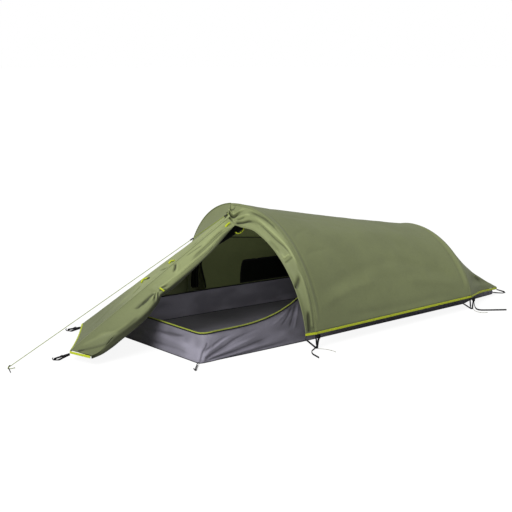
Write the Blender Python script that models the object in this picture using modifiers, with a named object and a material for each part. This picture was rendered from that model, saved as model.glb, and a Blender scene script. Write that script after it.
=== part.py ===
"""A one-person hoop tent, pitched for use, with its near door folded back.

Metres, +Z up. +X runs from the head end to the foot end, and the open door is on the -Y side.
The origin is on the ground under the middle of the main hoop.
"""

import math

import bmesh
import bpy
import numpy as np
from mathutils import Matrix, Vector

# Main hoop, which stands beside the door: the line of the fly over its pole
MAIN_X = 0.0
MAIN_HALF_WIDTH = 0.585
MAIN_HEIGHT = 0.700
MAIN_LEAN = -0.056
MAIN_FULLNESS = 2.13
MAIN_SECTIONS = 5

# Rear hoop, over the feet
REAR_X = 1.308
REAR_HALF_WIDTH = 0.484
REAR_HEIGHT = 0.450
REAR_LEAN = -0.012
REAR_FULLNESS = 1.90
REAR_SECTIONS = 4

# Poles and their sleeves
POLE_RADIUS = 0.00425
FERRULE_WALL = 0.00065
FERRULE_RADIUS = POLE_RADIUS + FERRULE_WALL
FERRULE_LENGTH = 0.050
POLE_TIP_RADIUS = 0.0028
POLE_TIP_LENGTH = 0.012
SLEEVE_WALL = 0.0010
SLEEVE_ROOM = 0.0022
SLEEVE_CLEARANCE = 0.00137
POLE_SHIFT = 0.0050
SLEEVE_RADIUS = POLE_RADIUS + SLEEVE_ROOM + SLEEVE_WALL
ROOF_SLOPE = (MAIN_HEIGHT - REAR_HEIGHT) / (REAR_X - MAIN_X)
SLEEVE_DROP = SLEEVE_RADIUS + SLEEVE_CLEARANCE + ROOF_SLOPE * (POLE_SHIFT + SLEEVE_RADIUS)

# Cloth
FLY_THICKNESS = 0.0015
INNER_THICKNESS = 0.0015
HEM_HEIGHT_MAIN = 0.0765
HEM_HEIGHT_REAR = 0.0690
HEM_HEIGHT_TAIL = 0.0350
BINDING_WIDTH = 0.0130
BINDING_THICKNESS = 0.0030
BODY_SAG = 0.012
SEAM_GAP = 0.0014
HEM_GAP = 0.0010

# Foot end of the fly
TAIL_X = 1.722
TAIL_HALF_WIDTH = 0.310
SHOULDER_SHARE = 0.14
FOOT_SAG = 0.010
SIDE_HOLLOW = 0.024

# Lip of the fly in front of the main hoop, on the near side
LIP_X = MAIN_X - 0.064
LIP_HALF_WIDTH = MAIN_HALF_WIDTH - 0.010
LIP_HEIGHT = MAIN_HEIGHT - 0.095
LIP_LEAN = -0.041
LIP_FULLNESS = 2.10
LIP_BOTTOM = 0.0895
LIP_FOLD = 0.007

# Front of the fly: the gather at the guyline, and the corners of the front hem
GATHER = Vector((MAIN_X - 0.133, 0.0, MAIN_HEIGHT - 0.0465))
CROWN_SPLIT = math.radians(97)
FRONT_FAR = Vector((-0.794, 0.465, 0.038))
FRONT_TIP = Vector((-1.121, 0.021, 0.038))
FRONT_HEM_INSET = 0.008
FRONT_HOLLOW = 0.010
FRONT_PAIRING = 2.4

# Near door, folded back along the front panel's edge
DOOR_FOLD_ROUTE = (
    Vector((-1.089, -0.136, 0.0555)),
    Vector((-1.000, -0.130, 0.066)),
    Vector((-0.890, -0.120, 0.114)),
    Vector((-0.736, -0.100, 0.192)),
    Vector((-0.621, -0.078, 0.281)),
    Vector((-0.547, -0.090, 0.332)),
    Vector((-0.442, -0.085, 0.394)),
    Vector((-0.308, -0.070, 0.472)),
    Vector((-0.205, -0.050, 0.539)),
    Vector((-0.108, -0.026, 0.594)),
)
DOOR_FOLD_RADIUS = 0.021
DOOR_FOLD_PLEAT = 0.10

# Inner tent: a groundsheet tub and an arched canopy
TUB_HEAD_X = -0.655
TUB_TAIL_X = TAIL_X + 0.013
TUB_HEAD_HALF_WIDTH = 0.443
TUB_MAIN_HALF_WIDTH = 0.430
TUB_REAR_X = REAR_X + 0.066
TUB_REAR_HALF_WIDTH = 0.357
TUB_FOOT_X = REAR_X + 0.167
TUB_FOOT_HALF_WIDTH = 0.316
TUB_TAIL_HALF_WIDTH = 0.281
TUB_WALL = 0.144
TUB_HEAD_WALL = 0.134
TUB_FAR_CORNER = 0.098
TUB_TAIL_WALL = 0.022
TUB_TAPER_X = REAR_X - 0.058
TUB_CORNER = 0.030
TUB_WALL_LEAN = 0.014
TUB_HEAD_LEAN = 0.034
SILL_RISE = 0.095
SILL_START_X = -0.50
SILL_END_X = MAIN_X + 0.011
CANOPY_FRONT_X = MAIN_X + 0.011
CANOPY_FRONT_SKEW = 0.040
CANOPY_FRONT_HALF_WIDTH = 0.424
CANOPY_FRONT_HEIGHT = MAIN_HEIGHT - 0.050
CANOPY_REAR_X = REAR_X + 0.027
CANOPY_REAR_HALF_WIDTH = 0.352
CANOPY_REAR_HEIGHT = REAR_HEIGHT - 0.058
CANOPY_FULLNESS = 2.25
CANOPY_LEAN = -0.050
WINDOW_X = (0.256, 0.740)
WINDOW_Z = (0.161, 0.293)
ZIP_WIDTH = 0.0085
ZIP_THICKNESS = 0.0030
INNER_DOOR_RADIUS = 0.015
INNER_DOOR_FOLDS = 6
INNER_DOOR_ROUTE = (
    Vector((-0.0686, 0.0985, MAIN_HEIGHT - 0.0674)),
    Vector((-0.0790, 0.195, MAIN_HEIGHT - 0.125)),
    Vector((-0.0800, 0.285, 0.490)),
    Vector((-0.0800, 0.355, 0.390)),
    Vector((-0.0800, 0.393, 0.285)),
    Vector((-0.0790, 0.400, 0.185)),
)

# Pegs, anchor loops and the guyline
PEG_RADIUS = 0.0023
PEG_LENGTH = 0.098
HOOK_RADIUS = 0.0062
HOOK_RETURN = 0.006
HOOK_TILT = math.radians(48)
LOOP_RADIUS = 0.0015
LOOP_TURN = PEG_RADIUS + LOOP_RADIUS + 0.0008
PEG_HEIGHT = LOOP_TURN + LOOP_RADIUS + 0.0003
GUY_RADIUS = 0.0012
GUY_PEG = Vector((-1.430, 0.084, 0.0))
GUY_HEADING = math.radians(249)
GUY_SLIDERS = (0.020, 0.262)
LOOP_SETBACK = 0.012
FRONT_FAR_PEG = Vector((-0.833, 0.550, 0.0))
FRONT_TIP_PEG = Vector((-1.186, 0.066, 0.0))
HEAD_NEAR_PEG = Vector((-0.744, -0.534, 0.0))
HEAD_FAR_PEG = Vector((-0.664, 0.569, 0.0))
TAIL_PEG = Vector((TAIL_X + 0.064, 0.322, 0.0))
GUY_SLIDER_SIZE = (0.022, 0.0095, 0.0055)

# Straps at the four pole feet
STRAP_WIDTH = 0.0130
STRAP_THICKNESS = 0.0014
STRAP_BOW = 0.0160
STRAP_LEAN = 0.018
BUCKLE_WALL = 0.0030
BUCKLE_LENGTH = 0.0200
BUCKLE_CLEARANCE = 0.0006
BUCKLE_DROP = 0.0020
TAIL_STRAP_WIDTH = 0.0090
CORD_RADIUS = 0.0011
KNOTS = (15, 22)
MAIN_TAIL_ROUTE = (
    (0.008, -0.5907, 0.057),
    (-0.006, -0.5955, 0.034),
    (-0.030, -0.6020, 0.013),
    (-0.058, -0.6110, 0.006),
    (-0.082, -0.6330, 0.006),
    (-0.104, -0.6690, 0.006),
    (-0.114, -0.7030, 0.006),
    (-0.123, -0.7370, 0.006),
)
REAR_TAIL_ROUTE = (
    (1.3170, -0.4845, 0.050),
    (1.3130, -0.4930, 0.026),
    (1.3060, -0.5120, 0.010),
    (1.3080, -0.5400, 0.006),
    (1.3400, -0.5710, 0.006),
    (1.3920, -0.6080, 0.006),
    (1.4330, -0.6370, 0.006),
)
MAIN_CORD_ROUTE = (
    (-0.001, -0.5908, 0.0),
    (0.010, -0.6060, 0.0),
    (0.021, -0.6240, 0.0),
    (0.027, -0.6470, 0.0),
    (0.029, -0.6820, 0.0),
    (0.023, -0.7000, 0.0),
)
REAR_CORD_ROUTE = (
    (1.3050, -0.4902, 0.0034),
    (1.2800, -0.5300, 0.0000),
    (1.2740, -0.5680, 0.0000),
    (1.2860, -0.5920, 0.0000),
    (1.3090, -0.6000, 0.0000),
)

# Bright loops and tabs of thick tape
FITTING_RADIUS = 0.0024
FITTINGS = {
    "door_tie_upper": (
        (-0.5772, 0.1941, 0.3013),
        (-0.5550, 0.2026, 0.3165),
        (-0.5571, 0.1557, 0.3296),
    ),
    "door_tab": (
        (-0.4741, 0.0810, 0.4093),
        (-0.4619, 0.0784, 0.4217),
        (-0.4629, 0.0451, 0.4307),
    ),
    "door_tie_lower": (
        (-0.6282, -0.0639, 0.3216),
        (-0.6257, -0.0774, 0.3154),
        (-0.6176, -0.0850, 0.3079),
    ),
    "fly_door_pull": (
        (-0.1456, -0.0251, 0.6092),
        (-0.1625, -0.0289, 0.6028),
        (-0.1845, -0.0353, 0.5908),
    ),
    "foot_tab": (
        (1.4476, -0.3661, 0.1654),
        (1.4803, -0.3612, 0.1507),
        (1.5099, -0.3525, 0.1320),
    ),
    "hang_loop": (
        (-0.0460, -0.0040, MAIN_HEIGHT - 0.0544),
        (-0.0360, -0.0100, MAIN_HEIGHT - 0.1000),
        (-0.0380, -0.0100, MAIN_HEIGHT - 0.1320),
        (-0.0510, -0.0100, MAIN_HEIGHT - 0.1510),
        (-0.0750, -0.0100, MAIN_HEIGHT - 0.1590),
        (-0.0970, -0.0100, MAIN_HEIGHT - 0.1500),
    ),
}

# Gaps between pieces that touch
GAP = 0.0003
PLUG_GAP = 0.0006

# Finish of each kind of piece: colour, roughness, metallic
LOOKS = {
    "fly": ((0.205, 0.238, 0.117), 0.62, 0.0),
    "sleeve": ((0.165, 0.195, 0.092), 0.66, 0.0),
    "binding": ((0.462, 0.560, 0.040), 0.55, 0.0),
    "tub": ((0.118, 0.110, 0.140), 0.58, 0.0),
    "canopy": ((0.060, 0.070, 0.036), 0.72, 0.0),
    "mesh": ((0.010, 0.012, 0.009), 0.80, 0.0),
    "webbing": ((0.012, 0.012, 0.013), 0.70, 0.0),
    "plastic": ((0.015, 0.015, 0.016), 0.38, 0.0),
    "pole": ((0.180, 0.185, 0.190), 0.34, 0.9),
    "peg": ((0.025, 0.025, 0.027), 0.36, 0.8),
    "cord": ((0.330, 0.380, 0.110), 0.60, 0.0),
}


def collection(name):
    made = bpy.data.collections.new(name)
    bpy.context.scene.collection.children.link(made)
    return made


for old in list(bpy.data.objects):
    bpy.data.objects.remove(old, do_unlink=True)
TENT = collection("one_person_tent")
CUTTERS = collection("cutters")


# Small helpers for points and curves


def mix(first, second, share):
    return first + (second - first) * share


def ease(share):
    share = min(max(share, 0.0), 1.0)
    return share * share * (3 - 2 * share)


def mirrored(point):
    return Vector((point.x, -point.y, point.z))


def along(points, count):
    """Points at even spacing along a line of points."""
    line = np.array([tuple(p) for p in points])
    steps = np.linalg.norm(np.diff(line, axis=0), axis=1)
    travel = np.concatenate([[0.0], np.cumsum(steps)])
    places = np.linspace(0.0, travel[-1], count)
    return [Vector([np.interp(s, travel, line[:, k]) for k in range(3)]) for s in places]


def rounded(points, count):
    """Points at even spacing along a smooth curve through a few route points."""
    route = [points[0] * 2 - points[1], *points, points[-1] * 2 - points[-2]]
    fine = []
    for a, b, c, d in zip(route, route[1:], route[2:], route[3:]):
        for step in range(8):
            t = step / 8
            fine.append(
                0.5 * (b * 2 + (c - a) * t + (a * 2 - b * 5 + c * 4 - d) * t**2)
                + 0.5 * (b * 3 - a - c * 3 + d) * t**3
            )
    return along([*fine, points[-1]], count)


class Arch:
    """A flat arch that stands on the ground, its top leaned along X."""

    def __init__(self, x, half_width, height, lean, fullness):
        self.x = x
        self.half_width = half_width
        self.height = height
        self.lean = lean
        self.fullness = fullness

    def at(self, angle):
        """Angle 0 is the near foot, and a half turn is the far foot."""
        across = math.cos(angle)
        side = math.copysign(abs(across) ** (2 / self.fullness), across)
        rise = max(math.sin(angle), 0.0) ** (2 / self.fullness)
        return Vector((self.x + self.lean * rise, -self.half_width * side, self.height * rise))

    def angle_at(self, z):
        return math.asin((z / self.height) ** (self.fullness / 2))

    def even(self, start, end, count):
        fine = [self.at(mix(start, end, k / 240)) for k in range(241)]
        return along(fine, count)

    def smaller(self, inset, shift=0.0):
        return Arch(self.x + shift, self.half_width - inset, self.height - inset, self.lean, self.fullness)


FLY_MAIN = Arch(MAIN_X, MAIN_HALF_WIDTH, MAIN_HEIGHT, MAIN_LEAN, MAIN_FULLNESS)
FLY_REAR = Arch(REAR_X, REAR_HALF_WIDTH, REAR_HEIGHT, REAR_LEAN, REAR_FULLNESS)
LIP_EDGE = Arch(LIP_X, LIP_HALF_WIDTH, LIP_HEIGHT, LIP_LEAN, LIP_FULLNESS)
POLE_INSET = SLEEVE_DROP
POLE_MAIN = FLY_MAIN.smaller(POLE_INSET, POLE_SHIFT)
POLE_REAR = FLY_REAR.smaller(POLE_INSET, -POLE_SHIFT)

HALF_TURN = math.pi
HEM_LIFT = BINDING_WIDTH + HEM_GAP
HEM_MAIN = HEM_HEIGHT_MAIN + HEM_LIFT
HEM_REAR = HEM_HEIGHT_REAR + HEM_LIFT
MAIN_ANGLE = FLY_MAIN.angle_at(HEM_MAIN)
REAR_ANGLE = FLY_REAR.angle_at(HEM_REAR)


# Builders that every piece uses


def dressed(obj, look, group=None):
    """Links an object, and gives it a material of its own with that finish."""
    (group or TENT).objects.link(obj)
    colour, roughness, metallic = LOOKS[look]
    made = bpy.data.materials.new(obj.name + "_finish")
    made.use_nodes = True
    shader = made.node_tree.nodes["Principled BSDF"]
    shader.inputs["Base Color"].default_value = (*colour, 1.0)
    shader.inputs["Roughness"].default_value = roughness
    shader.inputs["Metallic"].default_value = metallic
    obj.data.materials.append(made)
    return obj


def mesh_of(name, bm, smooth=True):
    mesh = bpy.data.meshes.new(name)
    bmesh.ops.recalc_face_normals(bm, faces=bm.faces)
    bm.to_mesh(mesh)
    bm.free()
    if smooth:
        mesh.shade_smooth()
        mesh.set_sharp_from_angle(angle=math.radians(50))
    return bpy.data.objects.new(name, mesh)


def loft(name, rows, look, thickness=None, ring=False, cap_first=False, cap_last=False):
    """A surface through rows of points. With a thickness it is a sheet, and with both caps a solid."""
    bm = bmesh.new()
    made = [[bm.verts.new(p) for p in row] for row in rows]
    for first, second in zip(made, made[1:]):
        count = len(first)
        for k in range(count if ring else count - 1):
            n = (k + 1) % count
            bm.faces.new((first[k], first[n], second[n], second[k]))
    if cap_first:
        bm.faces.new(made[0])
    if cap_last:
        bm.faces.new(made[-1])
    obj = mesh_of(name, bm)
    if thickness:
        shell = obj.modifiers.new("cloth", "SOLIDIFY")
        shell.thickness = thickness
        shell.offset = 0.0
    return dressed(obj, look)


def wire(name, points, radius, look, factors=None, resolution=1):
    """A round tube along a line of points, with filled ends."""
    curve = bpy.data.curves.new(name, "CURVE")
    curve.dimensions = "3D"
    curve.bevel_depth = radius
    curve.bevel_resolution = resolution
    curve.use_fill_caps = True
    curve.twist_mode = "MINIMUM"
    spline = curve.splines.new("POLY")
    spline.points.add(len(points) - 1)
    for k, p in enumerate(points):
        spline.points[k].co = (*p, 1.0)
        spline.points[k].radius = factors[k] if factors else 1.0
    return dressed(bpy.data.objects.new(name, curve), look)


def block(name, size, place, turn, look, group=None):
    """A box of that size, turned by a matrix and set at a place."""
    bm = bmesh.new()
    bmesh.ops.create_cube(bm, size=1.0)
    bmesh.ops.scale(bm, verts=bm.verts, vec=size)
    obj = mesh_of(name, bm, smooth=False)
    obj.matrix_world = Matrix.Translation(place) @ turn.to_4x4()
    return dressed(obj, look, group)


def cutter(obj):
    obj.hide_render = True
    obj.display_type = "WIRE"
    return obj


def cut(obj, tool, operation="DIFFERENCE"):
    step = obj.modifiers.new("cut", "BOOLEAN")
    step.operation = operation
    step.object = tool


def soften(obj, width, segments=2):
    step = obj.modifiers.new("edges", "BEVEL")
    step.width = width
    step.segments = segments
    step.limit_method = "ANGLE"
    step.angle_limit = math.radians(40)


def facing(forward, up=Vector((0, 0, 1))):
    """A turn whose X axis runs along a direction, and whose Z axis is as near to up as it can be."""
    x = forward.normalized()
    y = up.cross(x).normalized()
    return Matrix((x, y, x.cross(y))).transposed()


# Poles in sections, each with its ferrule, and with tips at the hoop's ends


def pole(label, arch, sections, look="pole"):
    start = arch.angle_at(STRAP_THICKNESS + 2 * GAP + 0.0006)
    line = arch.even(start, HALF_TURN - start, sections * 16 + 1)
    for k in range(sections):
        points = along(line[k * 16 : k * 16 + 17], 7)
        length = sum((b - a).length for a, b in zip(points, points[1:]))
        if k > 0:
            room = 2 * GAP + FERRULE_RADIUS * math.sin(ahead.angle(points[1] - points[0]))
            points[0] = mix(points[0], points[1], room / (points[1] - points[0]).length)
        ahead = points[-1] - points[-2]
        factors = [1.0] * len(points)
        ferrule = FERRULE_LENGTH / length
        if k < sections - 1:
            collar = mix(points[-2], points[-1], 1 - ferrule * (len(points) - 1))
            points[-1:-1] = [collar, collar + (points[-1] - collar).normalized() * 0.0008]
            factors = [1.0] * (len(points) - 2) + [FERRULE_RADIUS / POLE_RADIUS] * 2
        for end in ((0,) if k == 0 else ()) + ((-1,) if k == sections - 1 else ()):
            points, factors = tipped(points, factors, end)
        wire(f"{label}_pole_{k + 1}", points, POLE_RADIUS, look, factors, resolution=2)


def tipped(points, factors, end):
    """Adds the narrow plug that stands in the foot strap."""
    inner = points[1] if end == 0 else points[-2]
    tip = points[end]
    toward = (inner - tip).normalized()
    neck = tip + toward * POLE_TIP_LENGTH
    shoulder = neck + toward * 0.0010
    thin = POLE_TIP_RADIUS / POLE_RADIUS
    if end == 0:
        return [tip, neck, shoulder, *points[1:]], [thin, thin, 1.0, *factors[1:]]
    return [*points[:-1], shoulder, neck, tip], [*factors[:-1], 1.0, thin, thin]


def sleeve(name, arch, angle, turns):
    """The tube of cloth that the pole runs through, drawn up to the seam that holds it under the fly."""
    line = arch.even(angle, HALF_TURN - angle, turns)
    plane = Vector((arch.height, 0, -arch.lean)).normalized()
    radius = POLE_RADIUS + SLEEVE_ROOM + SLEEVE_WALL / 2
    seam = SLEEVE_DROP - ROOF_SLOPE * POLE_SHIFT - FLY_THICKNESS / 2 - SLEEVE_WALL / 2
    rows = []
    for k, centre in enumerate(line):
        ahead = (line[min(k + 1, turns - 1)] - line[max(k - 1, 0)]).normalized()
        out = plane.cross(ahead)
        ring = []
        for s in range(8):
            turn = 2 * math.pi * s / 8
            reach = seam if s == 2 else radius
            ring.append(centre + plane * reach * math.cos(turn) + out * reach * math.sin(turn))
        rows.append(ring)
    loft(name, rows, "sleeve", SLEEVE_WALL, ring=True)


pole("main", POLE_MAIN, MAIN_SECTIONS)
pole("rear", POLE_REAR, REAR_SECTIONS)
sleeve("main_pole_sleeve", POLE_MAIN, MAIN_ANGLE, 35)
sleeve("rear_pole_sleeve", POLE_REAR, REAR_ANGLE, 29)


# Fly: the body between the hoops, the foot end, the lip and the front


BODY_COLUMNS = 35


def seam_share(start, end):
    """The share of a line between two points that leaves half the seam gap at one end."""
    return (SEAM_GAP / 2) / (end - start).length


def fly_body():
    front = FLY_MAIN.even(MAIN_ANGLE, HALF_TURN - MAIN_ANGLE, BODY_COLUMNS)
    back = FLY_REAR.even(REAR_ANGLE, HALF_TURN - REAR_ANGLE, BODY_COLUMNS)
    rows = []
    for step in range(8):
        row = []
        for k, (a, b) in enumerate(zip(front, back)):
            edge = seam_share(a, b)
            share = mix(edge, 1 - edge, step / 7)
            across = math.sin(math.pi * k / (BODY_COLUMNS - 1))
            drop = BODY_SAG * 4 * share * (1 - share) * min(1.0, 2.5 * across)
            inward = Vector((0, -a.y, -a.z)).normalized()
            row.append(mix(a, b, share) + inward * drop)
        rows.append(row)
    loft("fly_body", rows, "fly", FLY_THICKNESS)


def tail_edge(share):
    """The foot end's lower edge. The sides of the cloth end in its corners, and the top lies between them."""
    if share > 0.5:
        return mirrored(tail_edge(1 - share))
    base = HEM_HEIGHT_TAIL + HEM_LIFT
    if share < SHOULDER_SHARE:
        step = share / SHOULDER_SHARE
        return Vector((TAIL_X, -TAIL_HALF_WIDTH + 0.004 * step, base + 0.002 * step))
    flat = (share - SHOULDER_SHARE) / (0.5 - SHOULDER_SHARE)
    return Vector((TAIL_X, (0.004 - TAIL_HALF_WIDTH) * (1 - flat) ** 2, base + 0.002))


def side_hollow(share):
    """How far the foot end's side hem is drawn in between the rear hoop and the tail."""
    return SIDE_HOLLOW * math.sin(math.pi * share) ** 1.2


def fly_foot():
    front = FLY_REAR.even(REAR_ANGLE, HALF_TURN - REAR_ANGLE, BODY_COLUMNS)
    rows = []
    for step in range(9):
        row = []
        for k, a in enumerate(front):
            b = tail_edge(k / (BODY_COLUMNS - 1))
            share = mix(seam_share(a, b), 1.0, step / 8)
            low = ease(1 - min(k, BODY_COLUMNS - 1 - k) / 9)
            side = 1 if k < BODY_COLUMNS / 2 else -1
            across = math.sin(math.pi * k / (BODY_COLUMNS - 1)) ** 2
            drop = Vector((-0.6, 0, -0.8)) * FOOT_SAG * 4 * share * (1 - share) * across
            row.append(mix(a, b, share) + drop + Vector((0, side * side_hollow(share) * low, 0)))
        rows.append(row)
    loft("fly_foot", rows, "fly", FLY_THICKNESS)


LIP_COLUMNS = 25


def fly_lip():
    """The band in front of the hoop, with a fold along it and gathers under the guyline."""
    hoop_line = FLY_MAIN.even(MAIN_ANGLE, CROWN_SPLIT, LIP_COLUMNS)
    edge_line = LIP_EDGE.even(LIP_EDGE.angle_at(LIP_BOTTOM), HALF_TURN / 2, LIP_COLUMNS)
    rows = []
    for step in range(8):
        row = []
        for k, (a, b) in enumerate(zip(hoop_line, edge_line)):
            up = k / (LIP_COLUMNS - 1)
            reach = mix(b, GATHER + Vector((0.004, 0, -0.010)), ease((up - 0.93) / 0.07) * 0.6)
            share = mix(seam_share(a, reach), 1.0, step / 7)
            out = Vector((0, a.y, a.z)).normalized()
            fold = LIP_FOLD * math.sin(math.pi * share) * (0.4 + math.sin(2 * math.pi * share))
            gather = 0.005 * math.sin(9 * math.pi * up) * ease((up - 0.55) / 0.3) * share
            slack = fold * ease(up / 0.2) * ease((1 - up) / 0.15) + gather * ease((1 - up) / 0.1)
            clear = Vector((0, -SEAM_GAP, 0)) * ease((up - 0.8) / 0.2)
            row.append(mix(a, reach, share) + out * slack + clear)
        rows.append(row)
    loft("fly_lip", rows, "fly", FLY_THICKNESS)


# Front panel and folded door share the edge line from the front tip to the gather


FRONT_ROWS = 19
DOOR_EDGE_TOP = GATHER + Vector((0.002, -0.012, -0.012))
DOOR_EDGE_FOOT = FRONT_TIP + Vector((0, 0, HEM_LIFT))


def door_edge(share):
    """The line from the front tip, at 0, up to the gather, at 1."""
    return mix(DOOR_EDGE_FOOT, DOOR_EDGE_TOP, share)


def front_hem(share):
    """The front hem's lower edge from the far corner to the tip, hollowed between them."""
    inward = Vector((0.80, -0.60, 0)) * FRONT_HEM_INSET
    return mix(FRONT_FAR, FRONT_TIP, share) + inward * 4 * share * (1 - share)


def fly_front():
    """The far side of the porch and its front panel, from the hoop to the ridge and the door's edge."""
    far_foot = HALF_TURN - MAIN_ANGLE
    hoop_line = FLY_MAIN.even(far_foot, CROWN_SPLIT, FRONT_ROWS)
    lift = Vector((0, 0, HEM_LIFT))
    top = GATHER + Vector((0, GAP, 0))
    rows = []
    for k, hoop_point in enumerate(hoop_line):
        level = k / (FRONT_ROWS - 1)
        up = 1 - (1 - level) ** FRONT_PAIRING
        ridge = mix(FRONT_FAR + lift, top, up)
        row = []
        for step in range(8):
            share = mix(seam_share(hoop_point, ridge), 1.0, step / 7)
            depth = FRONT_HOLLOW * math.sin(math.pi * share) * math.sin(math.pi * level)
            drawn = Vector((0.30, -0.60, -0.70)) * depth
            row.append(mix(hoop_point, ridge, share) + drawn)
        for step in range(1, 7):
            share = step / 6
            high = mix(top, DOOR_EDGE_TOP, share)
            row.append(mix(front_hem(share) + lift, high, up))
        rows.append(row)
    loft("fly_front", rows, "fly", FLY_THICKNESS)


def fly_door():
    """The near door's cloth, doubled back along the front panel's edge and hanging below it."""
    count = 30
    fold_line = rounded(DOOR_FOLD_ROUTE, count)
    rows = []
    for k, fold in enumerate(fold_line):
        share = k / (count - 1)
        hang = fold - door_edge(mix(0.004, 0.985, share))
        top = door_edge(mix(0.004, 0.985, share)) + hang.normalized() * FLY_THICKNESS
        ahead = (fold_line[min(k + 1, count - 1)] - fold_line[max(k - 1, 0)]).normalized()
        hang = fold - top
        down = hang.normalized()
        out = ahead.cross(down).normalized()
        if out.y > 0:
            out = -out
        end = min(share / 0.16, (1 - share) / 0.10, 1.0)
        radius = min(mix(0.0035, DOOR_FOLD_RADIUS, ease(end)), hang.length * 0.40)
        centre = fold - down * radius
        ring = []
        for s in range(13):
            angle = mix(-HALF_TURN * 0.62, HALF_TURN * 0.62, s / 12)
            ripple = math.sin(5 * angle + 9 * share) * math.cos(angle * 0.8) ** 2
            pleat = 1 + DOOR_FOLD_PLEAT * ripple * ease(end)
            ring.append(centre + (down * math.cos(angle) + out * math.sin(angle)) * radius * pleat)
        first = ring[0]
        last = ring[-1]
        ring.append(mix(last, top, 0.55) + out * 0.0030 * ease(end))
        ring.append(top + out * 0.0010)
        ring.append(top - out * 0.0010)
        ring.append(mix(first, top, 0.55) - out * 0.0030 * ease(end))
        rows.append(ring)
    loft("fly_door", rows, "fly", ring=True, cap_first=True, cap_last=True)


def ribbon(name, line, width, thickness, look, side=Vector((0, 0, -1))):
    """A flat band that hangs below a line of points."""
    loft(name, [line, [p + side * width for p in line]], look, thickness)


def hem_bindings():
    """Bright tape under the hems: one band from the lip round the foot end, and one along the front."""
    drop = Vector((0, 0, -HEM_GAP))
    lip = LIP_EDGE.at(LIP_EDGE.angle_at(LIP_BOTTOM))
    hoop, rear, tail = FLY_MAIN.at(MAIN_ANGLE), FLY_REAR.at(REAR_ANGLE), tail_edge(0.0)
    near = [*along([lip, hoop], 3), *along([hoop, rear], 12)[1:]]
    for k in range(1, 9):
        share = k / 8
        near.append(mix(rear, tail, share) + Vector((0, side_hollow(share), 0)))
    across = [Vector((TAIL_X, -TAIL_HALF_WIDTH * (1 - k / 5), tail.z)) for k in range(1, 10)]
    far = [mirrored(p) for p in reversed(near[2:])]
    edge = [p + drop for p in [*near, *across, *far]]
    ribbon("hem_binding_body", edge, BINDING_WIDTH, BINDING_THICKNESS, "binding")
    foot = mirrored(hoop) + Vector((-0.0030, 0, -HEM_LIFT))
    side = along([foot, FRONT_FAR], 7)
    front = [front_hem(k / 8) for k in range(1, 9)]
    door = [FRONT_TIP + Vector((0.028, -0.150, 0.0)) * (k / 3) for k in range(1, 4)]
    line = [p + Vector((0, 0, BINDING_WIDTH)) for p in [*side, *front, *door]]
    ribbon("hem_binding_front", line, BINDING_WIDTH, BINDING_THICKNESS, "binding")


fly_body()
fly_foot()
fly_lip()
fly_front()
fly_door()
hem_bindings()


# Inner tent


def canopy_arch(x):
    share = (x - CANOPY_FRONT_X) / (CANOPY_REAR_X - CANOPY_FRONT_X)
    return Arch(
        x,
        mix(CANOPY_FRONT_HALF_WIDTH, CANOPY_REAR_HALF_WIDTH, share),
        mix(CANOPY_FRONT_HEIGHT, CANOPY_REAR_HEIGHT, share),
        CANOPY_LEAN,
        CANOPY_FULLNESS,
    )


# Stations along the inner tent that the tub and the canopy share, so that their edges run side by side
SILL_DROP_X = 0.090
SHARED_X = (
    SILL_END_X,
    0.036,
    0.062,
    SILL_DROP_X,
    *[float(x) for x in np.linspace(0.22, TUB_TAPER_X, 8)],
    CANOPY_REAR_X,
    TUB_REAR_X,
    TUB_FOOT_X,
    1.560,
    1.645,
    TUB_TAIL_X - 0.008,
)


def tub_half_width(x):
    table = (
        (TUB_HEAD_X, TUB_HEAD_HALF_WIDTH),
        (0.065, TUB_MAIN_HALF_WIDTH),
        (TUB_REAR_X, TUB_REAR_HALF_WIDTH),
        (TUB_FOOT_X, TUB_FOOT_HALF_WIDTH),
        (TUB_TAIL_X, TUB_TAIL_HALF_WIDTH),
    )
    return float(np.interp(x, [a for a, b in table], [b for a, b in table]))


def wall_height(x, near):
    """Height of the tub's wall. On the near side it climbs to the hoop, where the door's zip ends."""
    if x > SILL_END_X:
        taper = max(0.0, (x - TUB_TAPER_X) / (TUB_TAIL_X - TUB_TAPER_X))
        height = mix(TUB_WALL, TUB_TAIL_WALL, taper)
        drop = max(0.0, 1 - (x - SILL_END_X) / (SILL_DROP_X - SILL_END_X))
        return height + (SILL_RISE * drop if near else 0)
    if near:
        climb = max(0.0, (x - SILL_START_X) / (SILL_END_X - SILL_START_X)) ** 3
        head = mix(TUB_HEAD_WALL + 0.004, TUB_WALL, ease((x - TUB_HEAD_X) / 0.12))
        return head + SILL_RISE * climb
    return mix(TUB_FAR_CORNER, TUB_WALL, ease((x - TUB_HEAD_X) / 0.34))


def head_height(y):
    """Height of the head end's wall, lower towards the far side, where the porch comes down."""
    return mix(TUB_HEAD_WALL + 0.004, TUB_FAR_CORNER, ease((y - 0.02) / TUB_HEAD_HALF_WIDTH))


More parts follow.
